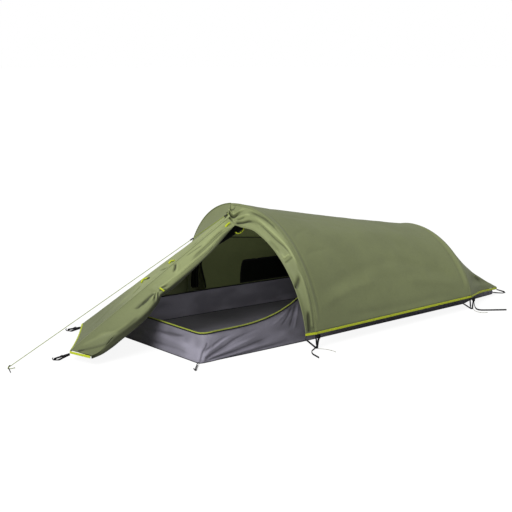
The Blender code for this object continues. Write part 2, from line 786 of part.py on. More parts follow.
def tub_ring(rise, inset=0.0):
    """One level of the tub, from the ground at 0 to the top edge at 1, starting at the near head corner."""
    head = TUB_HEAD_X + TUB_HEAD_LEAN * rise + inset
    tail = TUB_TAIL_X - inset
    sill = [*np.linspace(head, SILL_START_X, 3), *np.linspace(-0.43, -0.06, 7)]
    xs = [*sill, SILL_END_X - 0.009, *SHARED_X, tail]
    ring = []
    for near in (True, False):
        side = -1 if near else 1
        for x in xs if near else xs[::-1]:
            width = tub_half_width(x) - TUB_WALL_LEAN * rise - inset
            reach = min(x - head, tail - x)
            if reach < TUB_CORNER:
                width -= TUB_CORNER * 0.3 * (1 - reach / TUB_CORNER) ** 2
            z = wall_height(x, near) if x > head else head_height(side * width)
            ring.append(Vector((x, side * width, z * rise)))
        end_x = tail if near else head
        width = abs(ring[-1].y)
        for k in range(1, 6):
            y = mix(-width, width, k / 6) if near else mix(width, -width, k / 6)
            z = TUB_TAIL_WALL if near else head_height(y)
            ring.append(Vector((end_x, y, z * rise)))
    return ring


def wrinkled(ring, rise):
    """Slack folds in the near wall beside the head corner, drawn towards its peg."""
    corner = Vector((TUB_HEAD_X, -TUB_HEAD_HALF_WIDTH, 0))
    made = []
    for p in ring:
        away = (Vector((p.x, p.y, 0)) - corner).length
        near_wall = p.y < -0.3 and p.x < 0.0
        slack = 0.005 * math.sin(math.pi * rise) * math.sin(16 * away + 5 * rise) * ease(1 - away / 0.6)
        made.append(p + Vector((0, slack if near_wall else 0, 0)))
    return made


def inner_tub():
    """A groundsheet with walls, open at the top."""
    lift = Vector((0, 0, INNER_THICKNESS / 2))
    rows = [wrinkled(tub_ring(rise), rise) for rise in (1.0, 0.72, 0.42, 0.14)]
    rows.append(tub_ring(0.0, 0.004))
    rows.append(tub_ring(0.0, 0.030))
    rows = [[p + lift for p in row] for row in rows]
    loft("inner_tub", rows, "tub", INNER_THICKNESS, ring=True, cap_last=True)


def tub_top(x, near):
    width = tub_half_width(x) - TUB_WALL_LEAN
    side = -width if near else width
    return Vector((x, side, wall_height(x, near) + INNER_THICKNESS / 2 + GAP * 3.4))


CANOPY_COLUMNS = 25


def canopy_row(x):
    """One arch of the canopy, from the near wall's top edge over to the far wall's."""
    arch = canopy_arch(x)
    near = tub_top(x, True)
    far = tub_top(x, False)
    row = arch.even(arch.angle_at(near.z), HALF_TURN - arch.angle_at(far.z), CANOPY_COLUMNS)
    skew = CANOPY_FRONT_SKEW * ease(1 - (x - CANOPY_FRONT_X) / 0.2)
    for k, p in enumerate(row):
        low = ease(1 - min(k, CANOPY_COLUMNS - 1 - k) / 4)
        target = near if k < CANOPY_COLUMNS / 2 else far
        p.y = mix(p.y, target.y, low)
        p.x = mix(p.x, x, low)
        p.x -= skew * ease(k / (CANOPY_COLUMNS - 1)) * (1 - max(0.0, low - 0.2) if k > 12 else 1)
    row[0] = near
    row[-1] = far
    return row


def canopy_rows():
    rows = [canopy_row(x) for x in SHARED_X if x <= CANOPY_REAR_X]
    last = rows[-1]
    ends = [x for x in SHARED_X if x > CANOPY_REAR_X]
    end_x = ends[-1]
    top = wall_height(end_x, False) + INNER_THICKNESS / 2 + GAP * 3.4
    for x in ends:
        share = (x - CANOPY_REAR_X) / (end_x - CANOPY_REAR_X)
        row = []
        for k, p in enumerate(last):
            s = k / (CANOPY_COLUMNS - 1)
            side = -1 if s < 0.5 else 1
            edge = min(s, 1 - s) / 0.5
            rim = tub_top(x, s < 0.5)
            width = abs(tub_top(end_x, True).y)
            end = Vector((end_x, side * width * (1 - ease((edge - 0.2) / 0.8)), top))
            row.append(mix(mix(p, end, share), rim, ease(1 - edge / 0.16)))
        row[0] = tub_top(x, True)
        row[-1] = tub_top(x, False)
        rows.append(row)
    return rows


def window_box(name, trim):
    """A box round the window, taken in by a trim."""
    x0, x1 = WINDOW_X
    z0, z1 = WINDOW_Z
    size = Vector((x1 - x0 - 2 * trim, 0.16, z1 - z0 - 2 * trim))
    place = Vector(((x0 + x1) / 2, 0.40, (z0 + z1) / 2))
    return cutter(block(name, size, place, Matrix.Identity(3), "mesh", CUTTERS))


def inner_canopy():
    rows = canopy_rows()
    loft("inner_canopy", rows, "canopy", INNER_THICKNESS)
    cut(bpy.data.objects["inner_canopy"], window_box("window_hole", 0.0))
    window = loft("inner_window", [row[15:] for row in rows[3:11]], "mesh", INNER_THICKNESS)
    cut(window, window_box("window_shape", PLUG_GAP), "INTERSECT")


def inner_door():
    """The inner tent's mesh door, gathered into a swag that hangs from its arch down to the far rim."""
    line = rounded(INNER_DOOR_ROUTE, 20)
    rows = []
    for k, p in enumerate(line):
        share = k / 19
        radius = INNER_DOOR_RADIUS * mix(0.60, 1.0, ease(share / 0.3)) * (1 + 0.20 * math.sin(8 * share))
        ahead = (line[min(k + 1, 19)] - line[max(k - 1, 0)]).normalized()
        across = ahead.cross(Vector((1, 0, 0))).normalized()
        depth = across.cross(ahead).normalized()
        ring = []
        for s in range(18):
            angle = 2 * math.pi * s / 18
            fold = 1 + 0.22 * ease(share / 0.15) * math.sin(INNER_DOOR_FOLDS * angle + 3 * share)
            ring.append(p + (depth * math.cos(angle) + across * math.sin(angle)) * radius * fold)
        rows.append(ring)
    loft("inner_door", rows, "mesh", ring=True, cap_first=True, cap_last=True)


def sill_line():
    """The tub's top edge under the door's zip: down the near side from the hoop, then across the head end."""
    ring = tub_ring(1.0)
    head_x = TUB_HEAD_X + TUB_HEAD_LEAN
    near = [p for p in ring if p.y < -0.3 and head_x + 0.001 < p.x < SILL_END_X - 0.001]
    near.sort(key=lambda p: -p.x)
    head = sorted((p for p in ring if abs(p.x - head_x) < 0.001), key=lambda p: p.y)
    return [*near, *head]


def door_zip():
    lift = Vector((0, 0, INNER_THICKNESS / 2 + 0.0006 + ZIP_WIDTH))
    line = [p + lift for p in sill_line()]
    ribbon("door_zip", line, ZIP_WIDTH, ZIP_THICKNESS, "binding")
    ahead = (line[1] - line[0]).normalized()
    place = mix(line[0], line[1], 0.25) + Vector((0, -ZIP_THICKNESS / 2 - 0.0022, -ZIP_WIDTH * 0.5))
    body = block("zip_slider", Vector((0.013, 0.0036, 0.0080)), place, facing(ahead), "plastic")
    soften(body, 0.0008)


inner_tub()
inner_canopy()
inner_door()
door_zip()


# Pegs lie on the ground in their loops, with their hooks outward


def heading_of(angle):
    return Vector((math.cos(angle), math.sin(angle), 0))


def peg(name, place, angle):
    """A hooked peg on the ground. Its shank runs from the place along an angle, and its hook is tilted."""
    shank = heading_of(angle)
    side = Vector((-shank.y, shank.x, 0))
    base = Vector((place.x, place.y, PEG_HEIGHT))
    tilt = side * math.cos(HOOK_TILT) + Vector((0, 0, math.sin(HOOK_TILT)))
    centre = base - shank * 0.002 + tilt * HOOK_RADIUS
    points = [base + shank * PEG_LENGTH * share for share in (1.0, 0.80, 0.40, 0.0)]
    for k in range(1, 7):
        turn = HALF_TURN * k / 6
        points.append(centre - tilt * HOOK_RADIUS * math.cos(turn) - shank * HOOK_RADIUS * math.sin(turn))
    points.append(points[-1] + shank * HOOK_RETURN)
    factors = [0.40, *[1.0] * (len(points) - 1)]
    obj = wire(name, [p - base for p in points], PEG_RADIUS, "peg", factors)
    obj.location = base
    return obj


def crossing_loop(place, angle, first, second):
    """Route of a loop that meets its peg from the side: over the shank from one end, and back under it."""
    spot = Vector((place.x, place.y, 0)) + heading_of(angle) * LOOP_SETBACK
    pull = first - spot
    pull.z = 0
    pull.normalize()
    turn = [(math.sin(a), math.cos(a)) for a in np.linspace(0, math.pi, 6)]
    centre = spot + Vector((0, 0, PEG_HEIGHT))
    around = [centre + Vector((0, 0, LOOP_TURN * up)) - pull * LOOP_TURN * out for out, up in turn]
    low = around[-1] + pull * 0.014 + Vector((0, 0, 0.0006))
    return [first, mix(first, around[0], 0.5), *around, low, mix(low, second, 0.5), second]


def collar_loop(place, angle, hold):
    """Route of a loop that lies along its peg, down one side of the shank and back up the other."""
    shank = heading_of(angle)
    side = Vector((-shank.y, shank.x, 0))
    spot = Vector((place.x, place.y, PEG_HEIGHT)) + shank * LOOP_SETBACK
    turn = [(math.cos(a), -math.sin(a)) for a in np.linspace(0, math.pi, 6)]
    around = [spot + side * LOOP_TURN * out + Vector((0, 0, LOOP_TURN * up)) for out, up in turn]
    joined = side * (LOOP_RADIUS + GAP)
    parting = mix(hold, spot, 0.22)
    apart = side * LOOP_TURN
    return [hold + joined, parting + apart, *around, parting - apart, hold - joined]


def loops_and_pegs():
    below = Vector((0, 0, -GAP - LOOP_RADIUS))
    pair = Vector((0, 0, -2 * LOOP_RADIUS - GAP))
    far = FRONT_FAR + below + Vector((-0.001, 0.001, 0))
    tip = FRONT_TIP + below + Vector((-0.001, 0.001, 0))
    porch = (("front_far", far, FRONT_FAR_PEG, 31), ("front_tip", tip, FRONT_TIP_PEG, 36))
    for label, hem, place, angle in porch:
        angle = math.radians(angle)
        wire(f"{label}_loop", crossing_loop(place, angle, hem, hem + pair), LOOP_RADIUS, "webbing")
        peg(f"{label}_peg", place, angle)
    for name, sign in (("near", -1), ("far", 1)):
        place = HEAD_NEAR_PEG if sign < 0 else HEAD_FAR_PEG
        corner = Vector((TUB_HEAD_X + 0.0035, sign * (TUB_HEAD_HALF_WIDTH - 0.0127), 0))
        angle = math.atan2(corner.y - place.y, corner.x - place.x)
        back = 2 * GAP if sign < 0 else LOOP_RADIUS + GAP
        hold = corner - heading_of(angle) * back + Vector((0, 0, PEG_HEIGHT))
        wire(f"head_{name}_loop", collar_loop(place, angle, hold), LOOP_RADIUS, "webbing")
        peg(f"head_{name}_peg", place, angle)
        place = Vector((TAIL_PEG.x, sign * TAIL_PEG.y, 0))
        angle = -sign * math.radians(68)
        hem = Vector((TAIL_X + 0.0005, sign * TAIL_HALF_WIDTH, HEM_HEIGHT_TAIL)) + below
        tub = Vector((TUB_TAIL_X + INNER_THICKNESS / 2 + GAP + LOOP_RADIUS, sign * 0.268, 0.0050))
        wire(f"tail_{name}_loop", crossing_loop(place, angle, hem, tub), LOOP_RADIUS, "webbing")
        peg(f"tail_{name}_peg", place, angle)


loops_and_pegs()


# Straps at the pole feet, with their buckles


def foot_strap(label, arch, hem, sign, tub_x, lean):
    """A strap from the tub's edge, under the pole's tip and up to the hem. Its buckle slides on it."""
    top = arch.at(arch.angle_at(hem))
    top = Vector((top.x + lean, top.y, hem - 2 * GAP))
    foot = arch.smaller(POLE_INSET).at(0.0)
    low = STRAP_THICKNESS / 2 + GAP
    start = Vector((tub_x, -tub_half_width(tub_x) - STRAP_THICKNESS - GAP, low))
    under = Vector((foot.x, foot.y, low))
    out = (under - start).normalized()
    turn = under + out * STRAP_BOW + Vector((0, 0, 0.0030))
    line = [start, mix(start, under, 0.5), under - out * 0.004, under + out * STRAP_BOW * 0.6, turn]
    line += [mix(turn, top, 0.10), mix(turn, top, 0.22), top]
    first = Vector((-out.y, out.x, 0)).normalized() * STRAP_WIDTH / 2
    last = Vector((STRAP_WIDTH / 2, 0, 0))
    sides = [first, first, first, first, mix(first, last, 0.4), mix(first, last, 0.8), last, last]
    rows = [[p + side, p - side] for p, side in zip(line, sides)]
    rows = [[Vector((p.x, -sign * p.y, p.z)) for p in row] for row in rows]
    loft(f"{label}_strap", rows, "webbing", STRAP_THICKNESS)
    return line[-2], top


def buckle(name, low, top, sign):
    """A frame that the strap runs through, close under the hem."""
    rise = top - low
    place = top - rise.normalized() * (BUCKLE_LENGTH / 2 + BUCKLE_DROP)
    place.y *= -sign
    rise.y *= -sign
    turn = facing(rise, Vector((1, 0, 0)))
    room = 2 * BUCKLE_CLEARANCE
    inner = Vector((BUCKLE_LENGTH * 2, STRAP_THICKNESS + room, STRAP_WIDTH + room))
    outer = Vector((BUCKLE_LENGTH, inner.y + 2 * BUCKLE_WALL * 0.8, inner.z + 2 * BUCKLE_WALL))
    frame = block(name, outer, place, turn, "plastic")
    cut(frame, cutter(block(name + "_slot", inner, place, turn, "plastic", CUTTERS)))
    return frame


for sign, side in ((-1, "near"), (1, "far")):
    for hoop, arch, hem, tub_x in (
        ("main", FLY_MAIN, HEM_HEIGHT_MAIN, 0.062),
        ("rear", FLY_REAR, HEM_HEIGHT_REAR, TUB_REAR_X - 0.006),
    ):
        label = f"{hoop}_{side}"
        low, top = foot_strap(label, arch, hem, sign, tub_x, STRAP_LEAN)
        buckle(f"{label}_buckle", low, top, sign)


def banked(name, line, width, look, bank):
    """A flat band along a line on the ground, banked between lying flat at 0 and standing on edge at 1."""
    rows = [[], []]
    for k, p in enumerate(line):
        ahead = line[min(k + 1, len(line) - 1)] - line[max(k - 1, 0)]
        ahead.z = 0
        flat = ahead.normalized().cross(Vector((0, 0, 1)))
        side = (flat * (1 - bank) + Vector((0, 0, -bank))).normalized()
        rows[0].append(p - side * width / 2)
        rows[1].append(p + side * width / 2)
    loft(name, rows, look, STRAP_THICKNESS)


def loose_ends():
    """Webbing and cord ends that hang from the near buckles and lie on the ground."""
    line = rounded([Vector(p) for p in MAIN_TAIL_ROUTE], 20)
    banked("main_near_tail", line, TAIL_STRAP_WIDTH, "webbing", 0.62)
    line = rounded([Vector(p) for p in REAR_TAIL_ROUTE], 18)
    banked("rear_near_tail", line, TAIL_STRAP_WIDTH, "webbing", 0.95)
    low = CORD_RADIUS + 0.0004
    for name, route in (("main_near_cord", MAIN_CORD_ROUTE), ("rear_near_cord", REAR_CORD_ROUTE)):
        line = rounded([Vector((x, y, z + low)) for x, y, z in route], 24)
        factors = [1.0] * 24
        for k in KNOTS:
            factors[k] = 1.9
        wire(name, line, CORD_RADIUS, "cord", factors)
    lip = LIP_EDGE.at(LIP_EDGE.angle_at(LIP_BOTTOM))
    top = Vector((lip.x + 0.006, lip.y, LIP_BOTTOM - HEM_LIFT - 2 * GAP - 0.0005))
    foot = Vector((0.047, -tub_half_width(0.047) - 0.0030, 0.0065))
    half = Vector((0.0030, 0, 0))
    line = [top, mix(top, foot, 0.4), mix(top, foot, 0.8), foot]
    loft("lip_strap", [[p + half, p - half] for p in line], "webbing", STRAP_THICKNESS)


loose_ends()


# Guyline from the gather to its peg, with two sliders


def guyline():
    top = GATHER + Vector((-0.0020, 0, FLY_THICKNESS / 2 + GUY_RADIUS - GAP))
    spot = Vector((GUY_PEG.x, GUY_PEG.y, 0)) + heading_of(GUY_HEADING) * LOOP_SETBACK
    pull = (top - spot)
    pull.z = 0
    pull.normalize()
    centre = spot + Vector((0, 0, PEG_HEIGHT))
    reach = PEG_RADIUS + GUY_RADIUS + 0.0008
    turn = [(math.sin(a), math.cos(a)) for a in np.linspace(0, math.pi, 6)]
    around = [centre + Vector((0, 0, reach * up)) - pull * reach * out for out, up in turn]
    end = around[-1] + pull * 0.030 + Vector((0, 0, 0.0004))
    run = around[0] - top
    line = [*along([top, around[0]], 26)[:-1], *around, *along([around[-1], end], 4)[1:]]
    factors = [1.0] * (len(line) - 1) + [1.7]
    wire("guyline", line, GUY_RADIUS, "cord", factors)
    for name, distance in zip(("upper", "lower"), GUY_SLIDERS):
        place = top + run.normalized() * distance
        turn = facing(run)
        size = Vector(GUY_SLIDER_SIZE)
        body = block(f"guy_slider_{name}", size, place, turn, "plastic")
        bore = Vector((size.x * 2, 2 * (GUY_RADIUS + GAP), 2 * (GUY_RADIUS + GAP)))
        cut(body, cutter(block(f"bore_{name}", bore, place, turn, "plastic", CUTTERS)))
    peg("guy_peg", GUY_PEG, GUY_HEADING)


guyline()


# Ties that hold the folded door, and the pulls


def small_fittings():
    """Bright loops and tabs on the front panel, the folded door, the top of the doorway and the foot."""
    for name, route in FITTINGS.items():
        wire(name, [Vector(p) for p in route], FITTING_RADIUS, "binding")


small_fittings()
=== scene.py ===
"""Looks of a one-person hoop tent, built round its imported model.

Metres, +Z up. +X runs from the head end to the foot end, and the open door is on the -Y side.
Each cloth panel is a dense grid that follows the same hoops and hems as the solid it stands for.
"""

import math

import bmesh
import bpy
import numpy as np
from mathutils import Matrix, Vector


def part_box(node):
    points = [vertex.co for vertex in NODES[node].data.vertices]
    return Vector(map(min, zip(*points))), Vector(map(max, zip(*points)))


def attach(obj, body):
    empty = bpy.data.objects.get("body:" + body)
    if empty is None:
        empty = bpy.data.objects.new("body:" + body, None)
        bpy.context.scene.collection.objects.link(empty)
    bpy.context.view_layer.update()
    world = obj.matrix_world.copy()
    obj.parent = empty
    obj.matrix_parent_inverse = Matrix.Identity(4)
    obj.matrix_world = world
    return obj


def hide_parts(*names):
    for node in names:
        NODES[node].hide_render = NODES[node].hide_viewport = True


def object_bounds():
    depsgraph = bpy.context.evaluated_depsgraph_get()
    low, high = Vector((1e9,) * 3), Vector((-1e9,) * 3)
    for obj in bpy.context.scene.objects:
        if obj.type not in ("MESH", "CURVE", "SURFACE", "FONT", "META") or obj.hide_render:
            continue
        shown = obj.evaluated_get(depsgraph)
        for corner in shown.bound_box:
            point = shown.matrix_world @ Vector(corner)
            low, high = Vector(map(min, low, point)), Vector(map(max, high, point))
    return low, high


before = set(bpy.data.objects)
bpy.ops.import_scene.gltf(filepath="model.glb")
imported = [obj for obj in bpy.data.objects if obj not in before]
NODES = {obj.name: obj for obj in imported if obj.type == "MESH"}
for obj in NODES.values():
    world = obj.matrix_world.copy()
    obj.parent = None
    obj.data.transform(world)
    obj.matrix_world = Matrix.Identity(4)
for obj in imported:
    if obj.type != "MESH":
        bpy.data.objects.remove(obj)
CAD_BOX = [list(corner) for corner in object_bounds()]


# Camera: where the picture was taken from, and its lens

CAMERA_PLACE = Vector((-4.0949, -5.2620, 1.6677))
CAMERA_RIGHT = Vector((0.77665, -0.62993, 0.0))
CAMERA_UP = Vector((0.12819, 0.15805, 0.97908))
SENSOR_WIDTH = 36.0
FOCAL_LENGTH = 86.55
FRAME_SHIFT = (-0.0326, 0.0429)
VIEW_REACH = 100.0


def placed(name, data):
    """A new object in the scene."""
    obj = bpy.data.objects.new(name, data)
    bpy.context.scene.collection.objects.link(obj)
    return obj


def add_camera():
    data = bpy.data.cameras.new("camera")
    data.lens = FOCAL_LENGTH
    data.sensor_width = SENSOR_WIDTH
    data.shift_x, data.shift_y = FRAME_SHIFT
    data.clip_end = VIEW_REACH
    camera = placed("camera", data)
    right = CAMERA_RIGHT.normalized()
    up = (CAMERA_UP - right * CAMERA_UP.dot(right)).normalized()
    turn = Matrix((right, up, right.cross(up))).transposed()
    camera.matrix_world = Matrix.Translation(CAMERA_PLACE) @ turn.to_4x4()
    bpy.context.scene.camera = camera


add_camera()


# Hoops, each with its place along X, half width, height, lean of its top and fullness

MAIN_HOOP = (0.0, 0.585, 0.700, -0.056, 2.13)
REAR_HOOP = (1.308, 0.484, 0.450, -0.012, 1.90)
LIP_HOOP = (-0.064, 0.575, 0.605, -0.041, 2.10)

# Poles, which stand inside the hoops' lines, and their sleeves
POLE_INSET = 0.0112
POLE_SHIFT = 0.0050
SLEEVE_RADIUS = 0.0070

# Fly: its hems, its sag between the hoops and its tail
HEM_HEIGHT_MAIN = 0.0765
HEM_HEIGHT_REAR = 0.0690
HEM_HEIGHT_TAIL = 0.0350
HEM_LIFT = 0.0140
BINDING_WIDTH = 0.0130
BODY_SAG = 0.012
SEAM_GAP = 0.0004
TAIL_X = 1.722
TAIL_HALF_WIDTH = 0.310
SHOULDER_SHARE = 0.14
FOOT_SAG = 0.010
SIDE_HOLLOW = 0.024
LIP_BOTTOM = 0.0895
LIP_FOLD = 0.007

# Porch: where the fly gathers, the far corner and tip of its hem, and the door folded back beside it
GATHER = np.array((-0.133, 0.0, 0.6535))
FRONT_FAR = np.array((-0.794, 0.465, 0.038))
FRONT_TIP = np.array((-1.121, 0.021, 0.038))
FRONT_HEM_INSET = 0.008
FRONT_HOLLOW = 0.010
FRONT_PAIRING = 2.4
CROWN_SPLIT = math.radians(97)
LAP_ANGLE = math.radians(1.2)
DOOR_FOLD_ROUTE = (
    (-1.089, -0.136, 0.0555),
    (-1.000, -0.130, 0.066),
    (-0.890, -0.120, 0.114),
    (-0.736, -0.100, 0.192),
    (-0.621, -0.078, 0.281),
    (-0.547, -0.090, 0.332),
    (-0.442, -0.085, 0.394),
    (-0.308, -0.070, 0.472),
    (-0.205, -0.050, 0.539),
    (-0.108, -0.026, 0.594),
)
DOOR_FOLD_RADIUS = 0.027

# Tub of the inner tent, and its sill that climbs to the hoop on the door's side
TUB_HEAD_X = -0.655
TUB_TAIL_X = 1.735
TUB_WIDTHS = ((-0.655, 0.443), (0.065, 0.430), (1.374, 0.357), (1.475, 0.316), (1.735, 0.281))
TUB_WALL = 0.144
TUB_HEAD_WALL = 0.134
TUB_FAR_CORNER = 0.098
TUB_TAIL_WALL = 0.022
TUB_TAPER_X = 1.25
TUB_CORNER = 0.030
TUB_WALL_LEAN = 0.014
TUB_HEAD_LEAN = 0.034
SILL_RISE = 0.095
SILL_START_X = -0.50
SILL_END_X = 0.011
SILL_DROP_X = 0.090

# Canopy, window and gathered door of the inner tent
CANOPY_FRONT_X = 0.011
CANOPY_FRONT_SKEW = 0.040
CANOPY_REAR_X = 1.335
CANOPY_END_X = 1.727
CANOPY_FULLNESS = 2.25
CANOPY_LEAN = -0.050
WINDOW_X = (0.256, 0.740)
WINDOW_Z = (0.157, 0.293)
INNER_DOOR_RADIUS = 0.015
INNER_DOOR_ROUTE = (
    (-0.0686, 0.0985, 0.6326),
    (-0.0790, 0.195, 0.575),
    (-0.0800, 0.285, 0.490),
    (-0.0800, 0.355, 0.390),
    (-0.0800, 0.393, 0.285),
    (-0.0790, 0.401, 0.176),
)

# Pegs with round hooks, and the loops, cords and straps that they hold
PEG_RADIUS = 0.0023
PEG_LENGTH = 0.098
HOOK_RADIUS = 0.0062
HOOK_RETURN = 0.006
HOOK_TILT = math.radians(48)
LOOP_RADIUS = 0.0015
LOOP_TURN = 0.0046
LOOP_TAPE = (0.0072, 0.0018)
WIDE_LOOP_TAPE = (0.0090, 0.0018)
PEG_HEIGHT = 0.0064
LOOP_SETBACK = 0.012
GUY_RADIUS = 0.0016
GUY_REACH = 0.0045
CORD_RADIUS = 0.0011
STRAP_WIDTH = 0.0130
STRAP_THICKNESS = 0.0014

# Each peg's place on the ground, and its heading in degrees
PEGS = {
    "front_far_peg": ((-0.833, 0.550), 31),
    "front_tip_peg": ((-1.186, 0.066), 36),
    "head_near_peg": ((-0.744, -0.534), 48.25),
    "head_far_peg": ((-0.664, 0.569), -84.85),
    "tail_near_peg": ((1.786, -0.322), 68),
    "tail_far_peg": ((1.786, 0.322), -68),
    "guy_peg": ((-1.430, 0.084), 249),
}


# Points and curves, all as numpy arrays whose last axis is X, Y and Z

HALF_TURN = math.pi
UP = np.array((0.0, 0.0, 1.0))
LEVEL = np.array((1.0, 1.0, 0.0))
TINY = 1e-12
CURVE_STEPS = 24
ARCH_STEPS = 1601


def mix(first, second, share):
    return first + (second - first) * share


def ease(share):
    share = np.clip(share, 0.0, 1.0)
    return share * share * (3 - 2 * share)


def unit(vectors):
    return vectors / np.maximum(np.linalg.norm(vectors, axis=-1, keepdims=True), TINY)


def travel_of(path):
    """How far along a path each of its points is."""
    steps = np.linalg.norm(np.diff(path, axis=0), axis=1)
    return np.concatenate([[0.0], np.cumsum(steps)])


def ahead_of(path):
    """Unit directions along a path."""
    return unit(np.gradient(path, axis=0))


def read_off(places, travel, points):
    """A line's points at some places, where travel says how far along it each of its points is."""
    return np.stack([np.interp(places, travel, points[:, k]) for k in range(3)], axis=1)


def along(points, count):
    """Points at even spacing along a line of points."""
    points = np.asarray(points, float)
    travel = travel_of(points)
    return read_off(np.linspace(0.0, travel[-1], count), travel, points)


def bent(a, b, c, d, t):
    """A smooth curve from b to c, at shares t, with a before it and d after it."""
    bend = a * 2 - b * 5 + c * 4 - d
    return 0.5 * (b * 2 + (c - a) * t + bend * t**2 + (b * 3 - a - c * 3 + d) * t**3)


def run_on(rows):
    """Rows with one more before the first and after the last."""
    return np.concatenate([2 * rows[:1] - rows[1:2], rows, 2 * rows[-1:] - rows[-2:-1]])


def rounded(points, count):
    """Points at even spacing along a smooth curve through a few route points."""
    points = np.asarray(points, float)
    route = run_on(points)
    t = (np.arange(CURVE_STEPS) / CURVE_STEPS)[:, None]
    fine = [bent(*four, t) for four in zip(route, route[1:], route[2:], route[3:])]
    return along(np.vstack([*fine, points[-1:]]), count)


def spline_rows(rows, count):
    """Rows of points made smooth through a few rows, so that there are count of them."""
    line = run_on(rows)
    places = np.linspace(0, len(rows) - 1, count)
    index = np.minimum(places.astype(int), len(rows) - 2)
    return bent(*(line[index + k] for k in range(4)), (places - index)[:, None, None])


def half_round(centre, first, second, reach, count):
    """Half a turn round a centre: from the first direction, through the second, to the first's opposite."""
    turn = np.linspace(0, HALF_TURN, count)[:, None]
    return centre + (first * np.cos(turn) + second * np.sin(turn)) * reach


class Arch:
    """A flat arch that stands on the ground, its top leaned along X."""

    def __init__(self, x, half_width, height, lean, fullness):
        self.x, self.half_width, self.height = x, half_width, height
        self.lean, self.fullness = lean, fullness

    def at(self, angle):
        across = np.cos(angle)
        side = np.sign(across) * np.abs(across) ** (2 / self.fullness)
        rise = np.maximum(np.sin(angle), 0.0) ** (2 / self.fullness)
        x = self.x + self.lean * rise
        return np.stack([x, -self.half_width * side, self.height * rise], axis=-1)

    def angle_at(self, z):
        return math.asin((z / self.height) ** (self.fullness / 2))

    def even(self, start, end, count):
        return along(self.at(np.linspace(start, end, ARCH_STEPS)), count)

    def smaller(self, inset, shift=0.0):
        return Arch(self.x + shift, self.half_width - inset, self.height - inset, self.lean, self.fullness)


MAIN = Arch(*MAIN_HOOP)
REAR = Arch(*REAR_HOOP)
LIP = Arch(*LIP_HOOP)
MAIN_ANGLE = MAIN.angle_at(HEM_HEIGHT_MAIN + HEM_LIFT)
REAR_ANGLE = REAR.angle_at(HEM_HEIGHT_REAR + HEM_LIFT)
LIP_FOOT = LIP.at(LIP.angle_at(LIP_BOTTOM))


# Folds: ridges and valleys pressed into a panel along short routes, with painted shade in the valleys and
# painted highlight on the ridges, and a soft all-over slackness

FOLD_STEPS = 25
FOLD_REACH = 3.0
FOLD_FADE = (0.25, 0.25)
# Painted shade in fold valleys and painted highlight on fold ridges, per fold depth over width, and the
# limits of all painted shading
PAINTED_CREASE_SHADE = 0.78
PAINTED_CREST_HIGHLIGHT = 0.45
PAINTED_SHADING_LIMITS = (-0.25, 1.5)
SLACK_EDGE = 0.12
SLACK_WAVES = ((0.6, 0.16, 0), (0.3, 0.06, 5))
HASH_FACTORS = (374761393, 668265263, 2147483647, 1274126177)
HASH_RANGE = 0xFFFFFF


def outward_normals(panel, inner):
    """Unit normals of a grid of points, away from an inner point or from one for each row."""
    normal = unit(np.cross(np.gradient(panel, axis=1), np.gradient(panel, axis=0)))
    return normal * np.sign((normal * (panel - inner)).sum(axis=-1).mean())


def spot(panel, u, v):
    """The points of a panel at shares u across its rows and v down its columns."""
    rows, columns = panel.shape[:2]
    down = np.clip(v, 0, 1) * (rows - 1)
    across = np.clip(u, 0, 1) * (columns - 1)
    r = np.minimum(down.astype(int), rows - 2)
    c = np.minimum(across.astype(int), columns - 2)
    across = (across - c)[..., None]
    top = mix(panel[r, c], panel[r, c + 1], across)
    low = mix(panel[r + 1, c], panel[r + 1, c + 1], across)
    return mix(top, low, (down - r)[..., None])


def fold_height(panel, route, width, height, fade=FOLD_FADE):
    """How far one fold lifts each point: a round ridge along a route of (u, v) shares, fading at its ends."""
    route = np.array([(u, v, 0.0) for u, v in route])
    line = rounded(route, FOLD_STEPS) if len(route) > 2 else along(route, FOLD_STEPS)
    points = spot(panel, line[:, 0], line[:, 1])
    flat = panel.reshape(-1, 3)
    reach = FOLD_REACH * width
    inside = (flat > points.min(0) - reach) & (flat < points.max(0) + reach)
    near = np.where(inside.all(axis=1))[0]
    close = flat[near]
    best = np.full(len(near), np.inf)
    share = np.zeros(len(near))
    for k, (a, b) in enumerate(zip(points, points[1:])):
        span = b - a
        t = np.clip(((close - a) @ span) / max(span @ span, TINY), 0, 1)
        gap = ((close - a - t[:, None] * span) ** 2).sum(axis=1)
        share = np.where(gap < best, (k + t) / (len(points) - 1), share)
        best = np.minimum(gap, best)
    lift = np.zeros(len(flat))
    ends = ease(share / fade[0]) * ease((1 - share) / fade[1])
    lift[near] = height * np.exp(-best / width**2) * ends
    return lift.reshape(panel.shape[:2])


def hashed(cells, seed):
    """A fixed value from 0 to 1 for each cell of a lattice."""
    a, b, c, d = HASH_FACTORS
    mixed = cells[..., 0] * a + cells[..., 1] * b + cells[..., 2] * c + seed * d
    mixed = (mixed ^ (mixed >> 13)) * d
    return ((mixed ^ (mixed >> 16)) & HASH_RANGE) / HASH_RANGE


def cloudy(points, size, seed):
    """Smooth values from -1 to 1 that change over about that size. Size is one number or three."""
    scaled = points / np.asarray(size)
    base = np.floor(scaled).astype(np.int64)
    t = scaled - base
    t = t * t * (3 - 2 * t)
    total = np.zeros(points.shape[:-1])
    for corner in np.ndindex(2, 2, 2):
        weight = np.where(corner, t, 1 - t).prod(axis=-1)
        total += hashed(base + np.array(corner), seed) * weight
    return total * 2 - 1


